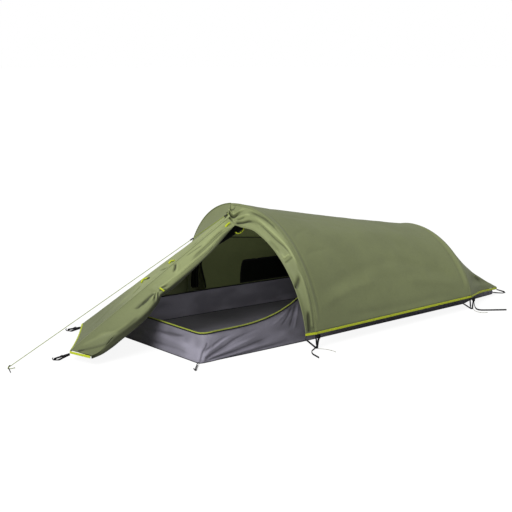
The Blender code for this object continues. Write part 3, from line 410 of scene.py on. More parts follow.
def pressed(panel, inner, folds=(), slack=0.0, seed=1, hold=None):
    """The panel with its folds and a little slackness, and its painted shading: painted shade in the valleys
    and painted highlight on the ridges.

    Hold is 1 where the cloth is free and 0 where seams hold it.
    """
    lift = np.zeros(panel.shape[:2])
    painted_shading = np.zeros(panel.shape[:2])
    for route, width, height, *fade in folds:
        fold = fold_height(panel, route, width, height, *fade)
        lift += fold
        # Valleys add painted shade and ridges add painted highlight
        painted_shading -= fold / width * (PAINTED_CREASE_SHADE if height < 0 else PAINTED_CREST_HIGHLIGHT)
    if hold is None:
        rows, columns = panel.shape[:2]
        v, u = np.meshgrid(np.linspace(0, 1, rows), np.linspace(0, 1, columns), indexing="ij")
        hold = ease(np.minimum(np.minimum(u, 1 - u), np.minimum(v, 1 - v)) / SLACK_EDGE)
    for depth, size, step in SLACK_WAVES:
        lift += slack * depth * cloudy(panel, size, seed + step) * hold
    return panel + outward_normals(panel, inner) * lift[..., None], np.clip(painted_shading, *PAINTED_SHADING_LIMITS)


# Builders of meshes, with UV maps in metres so that weaves have their real scale

CLOTH_THICKNESS = 0.0006
SHARP_ANGLE = math.radians(42)


def linked(name, mesh, material, smooth=True):
    obj = placed(name, mesh)
    if smooth:
        mesh.shade_smooth()
    mesh.materials.append(material)
    return obj


def gridded(name, points, u, v, wrap, caps=()):
    """A mesh of quads on rows of points. U and v say how far across and down each line of it is."""
    rows, columns = points.shape[:2]
    index = np.arange(rows * columns).reshape(rows, columns)
    if wrap:
        index = np.hstack([index, index[:, :1]])
    quads = np.stack([index[:-1, :-1], index[:-1, 1:], index[1:, 1:], index[1:, :-1]], axis=-1)
    mesh = bpy.data.meshes.new(name)
    mesh.from_pydata(points.reshape(-1, 3).tolist(), [], quads.reshape(-1, 4).tolist() + list(caps))
    uv = np.empty((len(v) - 1, len(u) - 1, 4, 2))
    uv[..., 0] = np.stack([u[:-1], u[1:], u[1:], u[:-1]], axis=-1)[None]
    uv[..., 1] = np.stack([v[:-1], v[:-1], v[1:], v[1:]], axis=-1)[:, None]
    flat = np.concatenate([uv.reshape(-1, 2), np.zeros((sum(map(len, caps)), 2))])
    layer = mesh.uv_layers.new(name="metres")
    layer.data.foreach_set("uv", flat.ravel().astype(np.float32))
    return mesh


def thicken(obj, thickness):
    shell = obj.modifiers.new("thickness", "SOLIDIFY")
    shell.thickness = thickness
    shell.offset = 0.0
    shell.use_even_offset = False


def grid(name, panel, material, thickness=CLOTH_THICKNESS, wrap=False, painted_shading=None):
    """A sheet of cloth on a grid of points. Painted_shading gives each point painted shade where above 0 and
    painted highlight where below 0.
    """
    closed = np.concatenate([panel, panel[:, :1]], axis=1) if wrap else panel
    across = np.linalg.norm(np.diff(closed, axis=1), axis=-1)
    down = np.linalg.norm(np.diff(closed, axis=0), axis=-1)
    widest = int(np.argmax(across.sum(axis=1)))
    u = np.concatenate([[0.0], np.cumsum(across[widest])])
    v = np.concatenate([[0.0], np.cumsum(down.mean(axis=1))])
    mesh = gridded(name, panel, u, v, wrap)
    if painted_shading is not None:
        # The crease attribute holds painted shade and painted highlight, which the cloth materials multiply
        # into their colour
        shade = mesh.attributes.new("crease", "FLOAT", "POINT")
        shade.data.foreach_set("value", np.asarray(painted_shading, np.float32).ravel())
    obj = linked(name, mesh, material)
    if thickness:
        thicken(obj, thickness)
    return obj


def turned_frames(path):
    """For each point of a path, two directions across it that turn as little as they can."""
    ahead = ahead_of(path)
    first = np.cross(ahead[0], UP)
    if np.linalg.norm(first) < 0.1:
        first = np.cross(ahead[0], (0, 1, 0))
    side = [unit(first)]
    for direction in ahead[1:]:
        side.append(unit(side[-1] - direction * (side[-1] @ direction)))
    side = np.array(side)
    return side, np.cross(ahead, side)


def sweep(name, path, side, up, profile, material, scale=None):
    """A closed profile carried along a path, with filled ends. Side and up are its axes at each point."""
    side, up = (np.broadcast_to(axis, path.shape) for axis in (side, up))
    profile = np.asarray(profile, float)
    shape = profile[None] * (np.ones(len(path)) if scale is None else scale)[:, None, None]
    rings = path[:, None] + side[:, None] * shape[..., :1] + up[:, None] * shape[..., 1:]
    count, around = rings.shape[:2]
    caps = [list(range(around))[::-1], list(range((count - 1) * around, count * around))]
    edges = travel_of(np.vstack([profile, profile[:1]]))
    mesh = gridded(name, rings, edges, travel_of(path), True, caps)
    bm = bmesh.new()
    bm.from_mesh(mesh)
    bmesh.ops.recalc_face_normals(bm, faces=bm.faces)
    bm.to_mesh(mesh)
    bm.free()
    obj = linked(name, mesh, material)
    mesh.set_sharp_from_angle(angle=SHARP_ANGLE)
    return obj


def circle(radius, sides):
    turn = 2 * HALF_TURN * np.arange(sides) / sides
    return np.stack([np.cos(turn), np.sin(turn)], axis=1) * radius


def band_profile(width, thickness):
    """The cross-section of a tape with rounded edges."""
    half, t = width / 2, thickness / 2
    inner = np.linspace(-half + t, half - t, 5)
    top = np.stack([inner, np.full(5, t)], axis=1)
    edge = np.array([(half - t * 0.3, t * 0.7), (half, 0.0), (half - t * 0.3, -t * 0.7)])
    return np.vstack([top, edge, -top, -edge])


def tube(name, path, radius, material, sides, scale=None):
    side, up = turned_frames(path)
    return sweep(name, path, side, up, circle(radius, sides), material, scale)


def ribbon(name, path, side, width, thickness, material):
    """A flat tape along a path, its width in the side direction."""
    side = np.broadcast_to(side, path.shape)
    up = unit(np.cross(ahead_of(path), side))
    return sweep(name, path, side, up, band_profile(width, thickness), material)


def join(name, parts, material):
    """Several meshes as one object."""
    bm = bmesh.new()
    mesh = bpy.data.meshes.new(name)
    for part in parts:
        bm.from_mesh(part.data)
        bpy.data.objects.remove(part, do_unlink=True)
    bm.to_mesh(mesh)
    bm.free()
    mesh.materials.clear()
    return linked(name, mesh, material, smooth=False)


def dress(obj, body, slot, *nodes):
    """Sets what a piece moves with and hides the solids it stands for; its slot is not used."""
    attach(obj, body)
    if nodes:
        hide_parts(*nodes)
    return obj


# Materials


class Nodes:
    """A small helper for building one material's nodes."""

    def __init__(self, name, colour, roughness, **sockets):
        self.material = bpy.data.materials.new(name)
        self.material.use_nodes = True
        self.tree = self.material.node_tree
        self.shader = self.tree.nodes["Principled BSDF"]
        self.colour = (*colour, 1.0)
        self.shader.inputs["Base Color"].default_value = self.colour
        self.shader.inputs["Roughness"].default_value = roughness
        for label, value in sockets.items():
            self.shader.inputs[label.replace("_", " ")].default_value = value
        self.bumps = None

    def add(self, kind, **settings):
        """A new node. A setting's name is one of its properties, or an input with _ for each space."""
        made = self.tree.nodes.new(kind)
        for key, value in settings.items():
            if hasattr(made, key):
                setattr(made, key, value)
            else:
                self.feed(value, made.inputs[key.replace("_", " ")])
        return made

    def feed(self, value, socket):
        """Gives a socket a value, or the output of another node."""
        if isinstance(value, bpy.types.NodeSocket):
            self.tree.links.new(value, socket)
        else:
            socket.default_value = value

    def place(self, source="UV", stretch=(1, 1, 1), turn=0.0):
        """Where a pattern sits: in metres over the cloth, or in metres through space."""
        place = self.add("ShaderNodeTexCoord").outputs[source]
        mapping = self.add("ShaderNodeMapping", Vector=place, Scale=stretch, Rotation=(0, 0, turn))
        return mapping.outputs["Vector"]

    def noise(self, size, detail=3.0, stretch=(1, 1, 1)):
        place = self.place("Object", stretch)
        return self.add("ShaderNodeTexNoise", Scale=1.0 / size, Detail=detail, Vector=place).outputs["Fac"]

    def lines(self, pitch, share, along_v, soft=0.10):
        """Thin lines that repeat over the cloth, 1 on a line and 0 between."""
        split = self.add("ShaderNodeSeparateXYZ", Vector=self.place())
        value = self.math("MULTIPLY", split.outputs["Y" if along_v else "X"], 1.0 / pitch)
        value = self.math("ABSOLUTE", self.math("SUBTRACT", self.math("FRACT", value), 0.5))
        edge = 0.5 - share / 2
        return self.ramp(value, edge - soft / 2, edge + soft / 2)

    def checks(self, pitch, share, soft):
        """The same lines both ways over the cloth."""
        return [self.lines(pitch, share, along_v, soft) for along_v in (False, True)]

    def math(self, operation, first, second=0.5):
        made = self.add("ShaderNodeMath", operation=operation)
        self.feed(first, made.inputs[0])
        self.feed(second, made.inputs[1])
        return made.outputs[0]

    def ramp(self, value, low, high):
        limits = {"From_Min": low, "From_Max": high}
        mapped = self.add("ShaderNodeMapRange", interpolation_type="SMOOTHSTEP", Value=value, **limits)
        return mapped.outputs["Result"]

    def shade(self, share, darker):
        """Multiplies the colour by darker where share is 1."""
        tint = darker if isinstance(darker, tuple) else (darker, darker, darker)
        scaled = self.add("ShaderNodeMix", data_type="RGBA", blend_type="MULTIPLY")
        scaled.inputs["Factor"].default_value = 1.0
        scaled.inputs[7].default_value = (*tint, 1.0)
        blend = self.add("ShaderNodeMix", data_type="RGBA")
        self.feed(share, blend.inputs["Factor"])
        for node in (scaled, blend):
            self.feed(self.colour, node.inputs[6])
        self.feed(scaled.outputs[2], blend.inputs[7])
        self.colour = blend.outputs[2]

    def bump(self, height, distance, strength=1.0):
        made = self.add("ShaderNodeBump", Strength=strength, Distance=distance, Height=height)
        if self.bumps is not None:
            self.feed(self.bumps, made.inputs["Normal"])
        self.bumps = made.outputs["Normal"]

    def done(self):
        self.feed(self.colour, self.shader.inputs["Base Color"])
        if self.bumps is not None:
            self.feed(self.bumps, self.shader.inputs["Normal"])
        return self.material


THREAD_PITCH = 0.0007
# Colour factors: full painted shade, full painted highlight, and the ripstop grid's own darker lines
PAINTED_SHADE_FACTOR = 0.26
PAINTED_HIGHLIGHT_FACTOR = 1.55
RIPSTOP_SHADE = 0.93


def coated_cloth(name, colour, roughness, ripstop=0.0050, shade=0.90, sheen=0.12):
    """Thin coated cloth: a fine plain weave, a ripstop grid, soft colour drift, small wrinkles, and painted
    shade and painted highlight from the crease attribute.
    """
    cloth = Nodes(name, colour, roughness, Sheen_Weight=sheen, Sheen_Roughness=0.5, Specular_IOR_Level=0.34)
    # Painted shade and painted highlight from each mesh's crease attribute, multiplied into the colour
    crease = cloth.add("ShaderNodeAttribute", attribute_name="crease").outputs["Fac"]
    cloth.shade(cloth.ramp(crease, 0.0, 1.0), PAINTED_SHADE_FACTOR)
    cloth.shade(cloth.ramp(crease, 0.0, -0.5), PAINTED_HIGHLIGHT_FACTOR)
    cloth.shade(cloth.ramp(cloth.noise(size=0.22, detail=4.0), 0.35, 0.70), shade)
    cloth.shade(cloth.ramp(cloth.noise(size=0.012, detail=4.0), 0.40, 0.75), 0.96)
    grid_lines = cloth.math("MAXIMUM", *cloth.checks(ripstop, 0.10, 0.10))
    cloth.shade(grid_lines, RIPSTOP_SHADE)
    cloth.bump(grid_lines, 0.00006, 0.5)
    cloth.bump(cloth.math("ADD", *cloth.checks(THREAD_PITCH, 0.5, 0.5)), 0.00004, 0.35)
    cloth.bump(cloth.noise(size=0.055, detail=5.0, stretch=(1.0, 1.0, 1.5)), 0.0030, 0.55)
    cloth.bump(cloth.noise(size=0.016), 0.0006, 0.5)
    limits = {"To_Min": roughness - 0.06, "To_Max": roughness + 0.08}
    uneven = cloth.add("ShaderNodeMapRange", Value=cloth.noise(size=0.09), **limits)
    cloth.feed(uneven.outputs["Result"], cloth.shader.inputs["Roughness"])
    return cloth.done()


def woven_tape(name, colour, roughness, rib=0.0012, shade=0.72, sheen=0.2):
    """Webbing and tape: ribs across it, slightly darker between them, and a little fuzz."""
    tape = Nodes(name, colour, roughness, Sheen_Weight=sheen, Sheen_Roughness=0.4, Specular_IOR_Level=0.25)
    ribs = tape.lines(rib, 0.55, True, soft=0.4)
    cords = tape.lines(rib * 1.3, 0.6, False, soft=0.4)
    tape.shade(tape.math("MULTIPLY", ribs, 0.6), shade)
    tape.shade(tape.ramp(tape.noise(size=0.02), 0.4, 0.8), 0.85)
    tape.bump(ribs, -0.00018, 0.7)
    tape.bump(cords, -0.00008, 0.5)
    return tape.done()


BRAID_ANGLE = math.radians(38)
BRAID_STRANDS = 4
WAVE_PER_METRE = 0.314


def braided_cord(name, colour, fleck, radius):
    """A round braid: two crossing sets of strands, with a darker fleck."""
    cord = Nodes(name, colour, 0.62, Sheen_Weight=0.15, Specular_IOR_Level=0.25)
    scale = WAVE_PER_METRE * BRAID_STRANDS / (2 * HALF_TURN * radius)
    strands = []
    for turn in (BRAID_ANGLE, -BRAID_ANGLE):
        looks = {"wave_type": "BANDS", "bands_direction": "X", "Scale": scale}
        strands.append(cord.add("ShaderNodeTexWave", Vector=cord.place(turn=turn), **looks).outputs["Fac"])
    cord.shade(cord.math("MULTIPLY", *strands), fleck)
    cord.bump(cord.math("ADD", *strands), 0.00025, 0.6)
    return cord.done()


def moulded(name, colour, roughness):
    """Moulded plastic with a fine grain and worn, paler patches."""
    plastic = Nodes(name, colour, roughness, Specular_IOR_Level=0.30)
    plastic.shade(plastic.ramp(plastic.noise(size=0.004, detail=4.0), 0.45, 0.75), 1.5)
    plastic.bump(plastic.noise(size=0.0012), 0.00006, 0.5)
    return plastic.done()


def metal_tube(name, colour, roughness, metallic=0.9):
    """Metal with fine marks and small scuffs, painted where metallic is 0."""
    metal = Nodes(name, colour, roughness, Metallic=metallic)
    metal.shade(metal.ramp(metal.noise(size=0.006, detail=5.0), 0.50, 0.72), 1.35)
    metal.bump(metal.noise(size=0.0008), 0.00003, 0.5)
    return metal.done()


def netting(name, colour):
    """Fine insect mesh, close enough to look black from a step away."""
    net = Nodes(name, colour, 0.85, Sheen_Weight=0.03, Specular_IOR_Level=0.10)
    holes = net.math("MULTIPLY", *net.checks(0.0016, 0.5, 0.3))
    net.shade(net.math("SUBTRACT", 1.0, holes), 0.45)
    net.shade(net.ramp(net.noise(size=0.05), 0.4, 0.7), 0.6)
    net.bump(holes, 0.0004, 0.6)
    return net.done()


def zip_weave(name, colour, roughness):
    tape = Nodes(name, colour, roughness, Specular_IOR_Level=0.3)
    tape.bump(tape.lines(0.0010, 0.5, True, soft=0.4), 0.0001, 0.5)
    return tape.done()


FLY = coated_cloth("fly_cloth", (0.222, 0.252, 0.112), 0.60)
SLEEVE = coated_cloth("sleeve_cloth", (0.170, 0.195, 0.096), 0.66)
TUB = coated_cloth("tub_cloth", (0.225, 0.215, 0.262), 0.52, ripstop=0.0062, shade=0.88)
CANOPY = coated_cloth("canopy_cloth", (0.150, 0.178, 0.066), 0.72, ripstop=0.0045, sheen=0.05)
TAPE = woven_tape("bright_tape", (0.660, 0.760, 0.028), 0.60)
WEBBING = woven_tape("webbing", (0.007, 0.007, 0.008), 0.80, rib=0.0016, shade=0.5, sheen=0.04)
PIPING = woven_tape("tub_piping", (0.030, 0.029, 0.034), 0.7)
RIM = woven_tape("tub_rim_tape", (0.014, 0.014, 0.016), 0.75)
CORD = braided_cord("guy_cord", (0.290, 0.370, 0.001), (0.34, 0.42, 0.01), GUY_RADIUS)
PALE_CORD = braided_cord("toggle_cord", (0.250, 0.250, 0.125), (0.30, 0.30, 0.20), CORD_RADIUS)
NET = netting("insect_mesh", (0.005, 0.0075, 0.0035))
PLASTIC = moulded("moulded_plastic", (0.007, 0.007, 0.008), 0.48)
METAL = metal_tube("peg_metal", (0.004, 0.004, 0.005), 0.66, metallic=0.0)
POLE_METAL = metal_tube("pole_tube", (0.034, 0.034, 0.037), 0.50)
ZIP_TAPE = zip_weave("zip_tape", (0.480, 0.560, 0.060), 0.55)
COIL = moulded("zip_coil", (0.330, 0.380, 0.070), 0.42)


# Cords: the guyline, and the loose ends that hang from the near buckles

KNOT_DRIFT = 0.0012
GUY_END = 0.030
TAIL_WIDTH = 0.0090
TAIL_BANK = 0.95
GUY_KNOT = (0.00192, 0.0017, 0.66)
TOGGLE_KNOT = (0.0013, 0.0010, 0.6)
TOGGLE_KNOTS = (15 / 23, 22 / 23)


def peg_base(name):
    """The hooked end of a peg's shank, and the direction from there along the shank."""
    place, degrees = PEGS[name]
    angle = math.radians(degrees)
    return np.array((*place, PEG_HEIGHT)), np.array((math.cos(angle), math.sin(angle), 0.0))


def knot_line(place, ahead, side, wide, tall, pace, lowest, wobble=0.0, steps=36):
    """A turn and a half of cord round one place, no lower than the lowest height."""
    turn = np.linspace(0, 3 * HALF_TURN, steps)[:, None]
    reach = wide * (1 + wobble * np.sin(3 * turn))
    path = place + ahead * KNOT_DRIFT * np.sin(pace * turn)
    path = path + side * reach * np.cos(turn) + UP * tall * np.sin(turn)
    path[:, 2] = np.maximum(path[:, 2], lowest)
    return path


def add_guyline():
    """A taut line from the gather, round its peg and back to a small knot."""
    base, shank = peg_base("guy_peg")
    centre = base + shank * LOOP_SETBACK
    top = GATHER + (-0.0020, 0, 0.00165)
    pull = unit((top - centre) * LEVEL)
    around = half_round(centre, UP, -pull, GUY_REACH, 17)
    end = around[-1] + pull * GUY_END + UP * 0.0004
    run = along([top, around[0]], 140)
    line = np.vstack([run[:-1], around, along([around[-1], end], 14)[1:]])
    obj = tube("guyline", line, GUY_RADIUS, CORD, sides=12)
    side = unit(np.cross(around[0] - top, UP))
    path = knot_line(end, pull, side, *GUY_KNOT, GUY_RADIUS + 0.0002, wobble=0.15, steps=40)
    knot = tube("guyline_knot", path, GUY_RADIUS * 0.9, CORD, sides=10)
    dress(knot, "tent", "cord")
    dress(obj, "tent", "cord", "guyline")
    return top, around[0]


MAIN_TAIL_ROUTE = (
    (0.008, -0.5907, 0.057),
    (-0.006, -0.5955, 0.034),
    (-0.030, -0.6020, 0.013),
    (-0.058, -0.6110, 0.006),
    (-0.082, -0.6330, 0.006),
    (-0.104, -0.6690, 0.006),
    (-0.114, -0.7030, 0.006),
    (-0.123, -0.7370, 0.006),
)
REAR_TAIL_ROUTE = (
    (1.3170, -0.4845, 0.050),
    (1.3130, -0.4930, 0.026),
    (1.3060, -0.5120, 0.010),
    (1.3080, -0.5400, 0.006),
    (1.3400, -0.5710, 0.006),
    (1.3920, -0.6080, 0.006),
    (1.4330, -0.6370, 0.006),
)
MAIN_CORD_ROUTE = (
    (-0.001, -0.5908, 0.0015),
    (0.010, -0.6060, 0.0015),
    (0.021, -0.6240, 0.0015),
    (0.027, -0.6470, 0.0015),
    (0.029, -0.6820, 0.0015),
    (0.023, -0.7000, 0.0015),
)
REAR_CORD_ROUTE = (
    (1.3050, -0.4902, 0.0049),
    (1.2800, -0.5300, 0.0015),
    (1.2740, -0.5680, 0.0015),
    (1.2860, -0.5920, 0.0015),
    (1.3090, -0.6000, 0.0015),
)


def add_tail(name, route):
    """A flat end of doubled webbing that stands nearly on edge."""
    path = rounded(route, 60)
    flat = np.cross(unit(np.gradient(path, axis=0) * LEVEL), UP)
    side = unit(mix(flat, -UP, TAIL_BANK))
    obj = ribbon(name, path, side, TAIL_WIDTH, 2 * STRAP_THICKNESS, WEBBING)
    dress(obj, "tent", "webbing", name)


def add_toggle_cord(name, route):
    """A thin cord with two small knots, lying on the ground."""
    path = rounded(route, 96)
    share = np.linspace(0, 1, len(path))
    scale = np.ones(len(path))
    knots = []
    for place in TOGGLE_KNOTS:
        scale += 0.15 * np.exp(-(((share - place) / 0.02) ** 2))
        k = int(place * (len(path) - 1))
        ahead = unit(path[k + 1] - path[k - 1])
        side = unit(np.cross(ahead, UP))
        line = knot_line(path[k], ahead, side, *TOGGLE_KNOT, CORD_RADIUS * 0.9 + 0.0001)
        knots.append(tube(f"{name}_knot_{len(knots) + 1}", line, CORD_RADIUS * 0.85, PALE_CORD, sides=10))
        dress(knots[-1], "tent", "cord")
    obj = tube(name, path, CORD_RADIUS, PALE_CORD, sides=12, scale=np.minimum(scale, 1.1))
    dress(obj, "tent", "cord", name)


GUY_TOP, GUY_FOOT = add_guyline()
add_tail("main_near_tail", MAIN_TAIL_ROUTE)
add_tail("rear_near_tail", REAR_TAIL_ROUTE)
add_toggle_cord("main_near_cord", MAIN_CORD_ROUTE)
add_toggle_cord("rear_near_cord", REAR_CORD_ROUTE)


# Fly panels

LEAST_FILL = 0.31


def declare(panel):
    """Works out the width, length and area of a panel's cloth, and keeps none of them."""
    across = np.linalg.norm(np.diff(panel, axis=1), axis=-1)
    down = np.linalg.norm(np.diff(panel, axis=0), axis=-1)
    width = float(across.sum(axis=1).max())
    length = float(down.sum(axis=0).max())
    a, b = panel[1:, 1:] - panel[:-1, :-1], panel[1:, :-1] - panel[:-1, 1:]
    area = float(np.linalg.norm(np.cross(a, b), axis=-1).sum() / 2)
    area = min(max(area, LEAST_FILL * width * length), width * length)


def fly_piece(node, panel, painted_shading):
    """One panel of the fly, named after the solid it stands for."""
    obj = dress(grid(f"{node}_cloth", panel, FLY, painted_shading=painted_shading), "tent", "fly_cloth", node)
    declare(panel)


BODY_FOLDS = (
    (((0.02, 0.014), (0.25, 0.014), (0.44, 0.014)), 0.010, 0.0040, (0.05, 0.30)),
    (((0.04, 0.034), (0.25, 0.034), (0.46, 0.034)), 0.008, -0.0026, (0.10, 0.30)),
    (((0.02, 0.984), (0.30, 0.984), (0.60, 0.984), (0.90, 0.984)), 0.011, 0.0050, (0.05, 0.05)),
    (((0.03, 0.962), (0.25, 0.962), (0.46, 0.962)), 0.008, -0.0024, (0.10, 0.30)),
    (((0.06, 0.02), (0.10, 0.20), (0.13, 0.45)), 0.026, 0.0040),
    (((0.10, 0.05), (0.16, 0.30), (0.20, 0.60)), 0.036, -0.0045),
    (((0.05, 0.98), (0.09, 0.80), (0.12, 0.55)), 0.026, 0.0040),
    (((0.10, 0.95), (0.17, 0.70), (0.22, 0.45)), 0.036, -0.0040),
    (((0.30, 0.05), (0.33, 0.50), (0.34, 0.95)), 0.060, 0.0040),
    (((0.03, 0.10), (0.02, 0.50), (0.03, 0.90)), 0.020, -0.0030),
    (((0.22, 0.05), (0.24, 0.12), (0.25, 0.22)), 0.012, -0.0022),
    (((0.28, 0.05), (0.31, 0.10), (0.33, 0.18)), 0.012, -0.0022),
    (((0.40, 0.05), (0.40, 0.20), (0.41, 0.40)), 0.018, -0.0024),
    (((0.94, 0.02), (0.90, 0.20), (0.87, 0.45)), 0.024, 0.0035),
    (((0.95, 0.98), (0.91, 0.80), (0.88, 0.55)), 0.024, 0.0035),
    (((0.70, 0.05), (0.67, 0.50), (0.66, 0.95)), 0.050, 0.0030),
)
BODY_INSIDE = (0.65, 0.0, 0.10)


def add_fly_body():
    count, steps = 230, 170
    front = MAIN.even(MAIN_ANGLE, HALF_TURN - MAIN_ANGLE, count)
    back = REAR.even(REAR_ANGLE, HALF_TURN - REAR_ANGLE, count)
    share = np.linspace(SEAM_GAP, 1 - SEAM_GAP, steps)[:, None, None]
    across = np.sin(HALF_TURN * np.linspace(0, 1, count))[None, :, None]
    drop = BODY_SAG * 4 * share * (1 - share) * np.minimum(1.0, 2.5 * across)
    panel = mix(front[None], back[None], share) + unit(-front * (0, 1, 1))[None] * drop
    panel, painted_shading = pressed(panel, BODY_INSIDE, BODY_FOLDS, slack=0.0040, seed=3)
    fly_piece("fly_body", panel, painted_shading)
    return panel


def tail_edge(shares):
    """Points of the tail's hem: nearly level over each shoulder, then in to the middle."""
    side = np.where(shares <= 0.5, 1, -1)
    shares = np.minimum(shares, 1 - shares)
    step = np.minimum(shares / SHOULDER_SHARE, 1.0)
    flat = (shares - SHOULDER_SHARE) / (0.5 - SHOULDER_SHARE)
    y = np.where(step < 1, -TAIL_HALF_WIDTH + 0.004 * step, (0.004 - TAIL_HALF_WIDTH) * (1 - flat) ** 2)
    z = HEM_HEIGHT_TAIL + HEM_LIFT + 0.002 * step
    return np.stack([np.full(len(shares), TAIL_X), side * y, z], axis=1)


def side_hollow(share):
    """How far the foot end's low edge is drawn in, by its share of the way from the hoop to the tail."""
    return np.array((0, SIDE_HOLLOW, 0)) * np.sin(HALF_TURN * share) ** 1.2


FOOT_FOLDS = (
    (((0.02, 0.05), (0.05, 0.45), (0.06, 0.95)), 0.018, 0.0040),
    (((0.05, 0.04), (0.10, 0.40), (0.13, 0.90)), 0.022, -0.0040),
    (((0.12, 0.04), (0.14, 0.45), (0.16, 0.95)), 0.018, 0.0030),
    (((0.25, 0.04), (0.22, 0.40), (0.17, 0.90)), 0.030, -0.0035),
    (((0.98, 0.05), (0.95, 0.45), (0.94, 0.95)), 0.018, 0.0040),
    (((0.95, 0.04), (0.90, 0.40), (0.87, 0.90)), 0.022, -0.0040),
    (((0.75, 0.04), (0.78, 0.40), (0.83, 0.90)), 0.030, -0.0035),
)
FOOT_SAG_WAY = (-0.6, 0, -0.8)


def add_fly_foot():
    count, steps = 210, 90
    s = np.linspace(0, 1, count)
    front = REAR.even(REAR_ANGLE, HALF_TURN - REAR_ANGLE, count)
    share = np.linspace(SEAM_GAP, 1.0, steps)[:, None, None]
    low = ease(1 - np.minimum(s, 1 - s) * 34 / 9)[None, :, None]
    side = np.where(s < 0.5, 1.0, -1.0)[None, :, None]
    across = (np.sin(HALF_TURN * s) ** 2)[None, :, None]
    drop = np.array(FOOT_SAG_WAY) * FOOT_SAG * 4 * share * (1 - share) * across
    panel = mix(front[None], tail_edge(s)[None], share) + drop + side_hollow(share) * side * low
    panel, painted_shading = pressed(panel, BODY_INSIDE, FOOT_FOLDS, slack=0.003, seed=8)
    fly_piece("fly_foot", panel, painted_shading)
    return panel


LIP_FOLDS = (
    (((1.0, 0.65), (0.97, 0.30), (0.945, 0.09)), 0.0045, -0.0040, (0.05, 0.30)),
    (((1.0, 0.70), (0.93, 0.40), (0.858, 0.16)), 0.0070, 0.0055, (0.05, 0.30)),
    (((1.0, 0.86), (0.945, 0.50), (0.866, 0.24)), 0.0100, -0.0110, (0.03, 0.55)),
    (((0.985, 0.87), (0.90, 0.56), (0.808, 0.35)), 0.0070, 0.0060),
    (((0.945, 0.77), (0.863, 0.53)), 0.0035, -0.0026),
    (((0.965, 0.93), (0.890, 0.78), (0.826, 0.64), (0.726, 0.57)), 0.0065, -0.0080, (0.10, 0.40)),
    (((0.858, 0.34), (0.772, 0.27), (0.694, 0.18), (0.612, 0.09), (0.525, 0.06)), 0.0070, -0.0055),
    (
        ((0.808, 0.42), (0.700, 0.44), (0.594, 0.42), (0.500, 0.28), (0.425, 0.18), (0.311, 0.10)),
        0.0080,
        0.0055,
    ),
    (((0.800, 0.54), (0.690, 0.56), (0.580, 0.54), (0.480, 0.38), (0.420, 0.28)), 0.0040, -0.0026),
    (((0.640, 0.86), (0.560, 0.78), (0.470, 0.74)), 0.0060, -0.0024),
    (((0.560, 0.90), (0.500, 0.74), (0.450, 0.66)), 0.0070, 0.0035),
    (((0.448, 0.86), (0.430, 0.56), (0.414, 0.24)), 0.0060, -0.0034),
    (((0.470, 0.80), (0.455, 0.55), (0.440, 0.34)), 0.0050, 0.0040),
    (((0.365, 0.42), (0.320, 0.46), (0.295, 0.60), (0.275, 0.90)), 0.0100, -0.0070, (0.25, 0.10)),
    (((0.340, 0.20), (0.240, 0.26), (0.140, 0.30), (0.020, 0.34)), 0.0090, 0.0040, (0.20, 0.05)),
    (((0.130, 0.46), (0.080, 0.52), (0.005, 0.62)), 0.0080, -0.0060, (0.30, 0.02)),
)
LIP_INSIDE = (0.10, 0.0, 0.15)
LIP_CROWDING = 1.35
LIP_DEPTH = 1.35
LIP_SAG = (-0.011, 0.0, -0.011)
LIP_GATHER_SHIFT = (0.001, 0.0012, 0.0018)
LIP_GATHER_START = 0.962
LIP_SAG_START = 0.78
LIP_SAG_RUN = 0.13
LIP_SAG_END = 0.972
# Painted shade on the lip's lower part, fading out by this height, and a painted highlight over the whole lip
LIP_LOW_PAINTED_SHADE = 0.75
LIP_PAINTED_SHADE_HEIGHT = 0.60
LIP_PAINTED_HIGHLIGHT = -0.20


def add_fly_lip():
    """The strip in front of the hoop. Its crown reaches up to the gather, in deep pleats."""
    count, steps = 400, 84
    level = np.linspace(0, 1, 2001)
    up = 1 - (1 - np.linspace(0, 1, count)) ** LIP_CROWDING
    hoop_line = read_off(up, level, MAIN.even(MAIN_ANGLE, CROWN_SPLIT + LAP_ANGLE, 2001))
    edge_line = read_off(up, level, LIP.even(LIP.angle_at(LIP_BOTTOM), HALF_TURN / 2, 2001))
    up = up[:, None]
    gathered = ease((up - LIP_GATHER_START) / (1 - LIP_GATHER_START))
    reach = mix(edge_line, GATHER + LIP_GATHER_SHIFT, gathered)
    freed = 1 - 0.9 * ease((up - LIP_SAG_END) / (1 - LIP_SAG_END))
    sag = ease((up - LIP_SAG_START) / LIP_SAG_RUN) * freed
    reach = reach + np.array(LIP_SAG) * sag
    share = np.linspace(SEAM_GAP, 1.0, steps)[:, None, None]
    out = unit(hoop_line * (0, 1, 1))[None]
    wave = LIP_FOLD * np.sin(HALF_TURN * share) * (0.4 + np.sin(2 * HALF_TURN * share))
    u = up[None]
    panel = mix(hoop_line[None], reach[None], share) + out * wave * ease(u / 0.2) * ease((1 - u) / 0.25)
    hold = ease(share[..., 0] / 0.05) * ease((1 - u[..., 0]) / 0.05)
    folds = []
    for route, width, height, *fade in LIP_FOLDS:
        moved = [(1 - (1 - u) ** (1 / LIP_CROWDING), v) for u, v in route]
        folds.append((moved, width, height * LIP_DEPTH, *fade))
    panel, painted_shading = pressed(panel, LIP_INSIDE, folds, slack=0.0024, seed=12, hold=hold)
    # Painted shade that grows towards the lip's bottom, on top of a painted highlight over the whole lip
    painted_shading = painted_shading + LIP_LOW_PAINTED_SHADE * (1 - ease(panel[..., 2] / LIP_PAINTED_SHADE_HEIGHT)) + LIP_PAINTED_HIGHLIGHT
    fly_piece("fly_lip", panel, painted_shading)
    return panel


DOOR_EDGE_TOP = GATHER + (0.002, -0.012, -0.012)
DOOR_EDGE_FOOT = FRONT_TIP + (0, 0, HEM_LIFT)


def door_edge(share):
    return mix(DOOR_EDGE_FOOT, DOOR_EDGE_TOP, np.asarray(share)[..., None])


def front_hem(share):
    share = np.asarray(share, float)[..., None]
    inward = np.array((0.80, -0.60, 0)) * FRONT_HEM_INSET
    return mix(FRONT_FAR, FRONT_TIP, share) + inward * 4 * share * (1 - share)


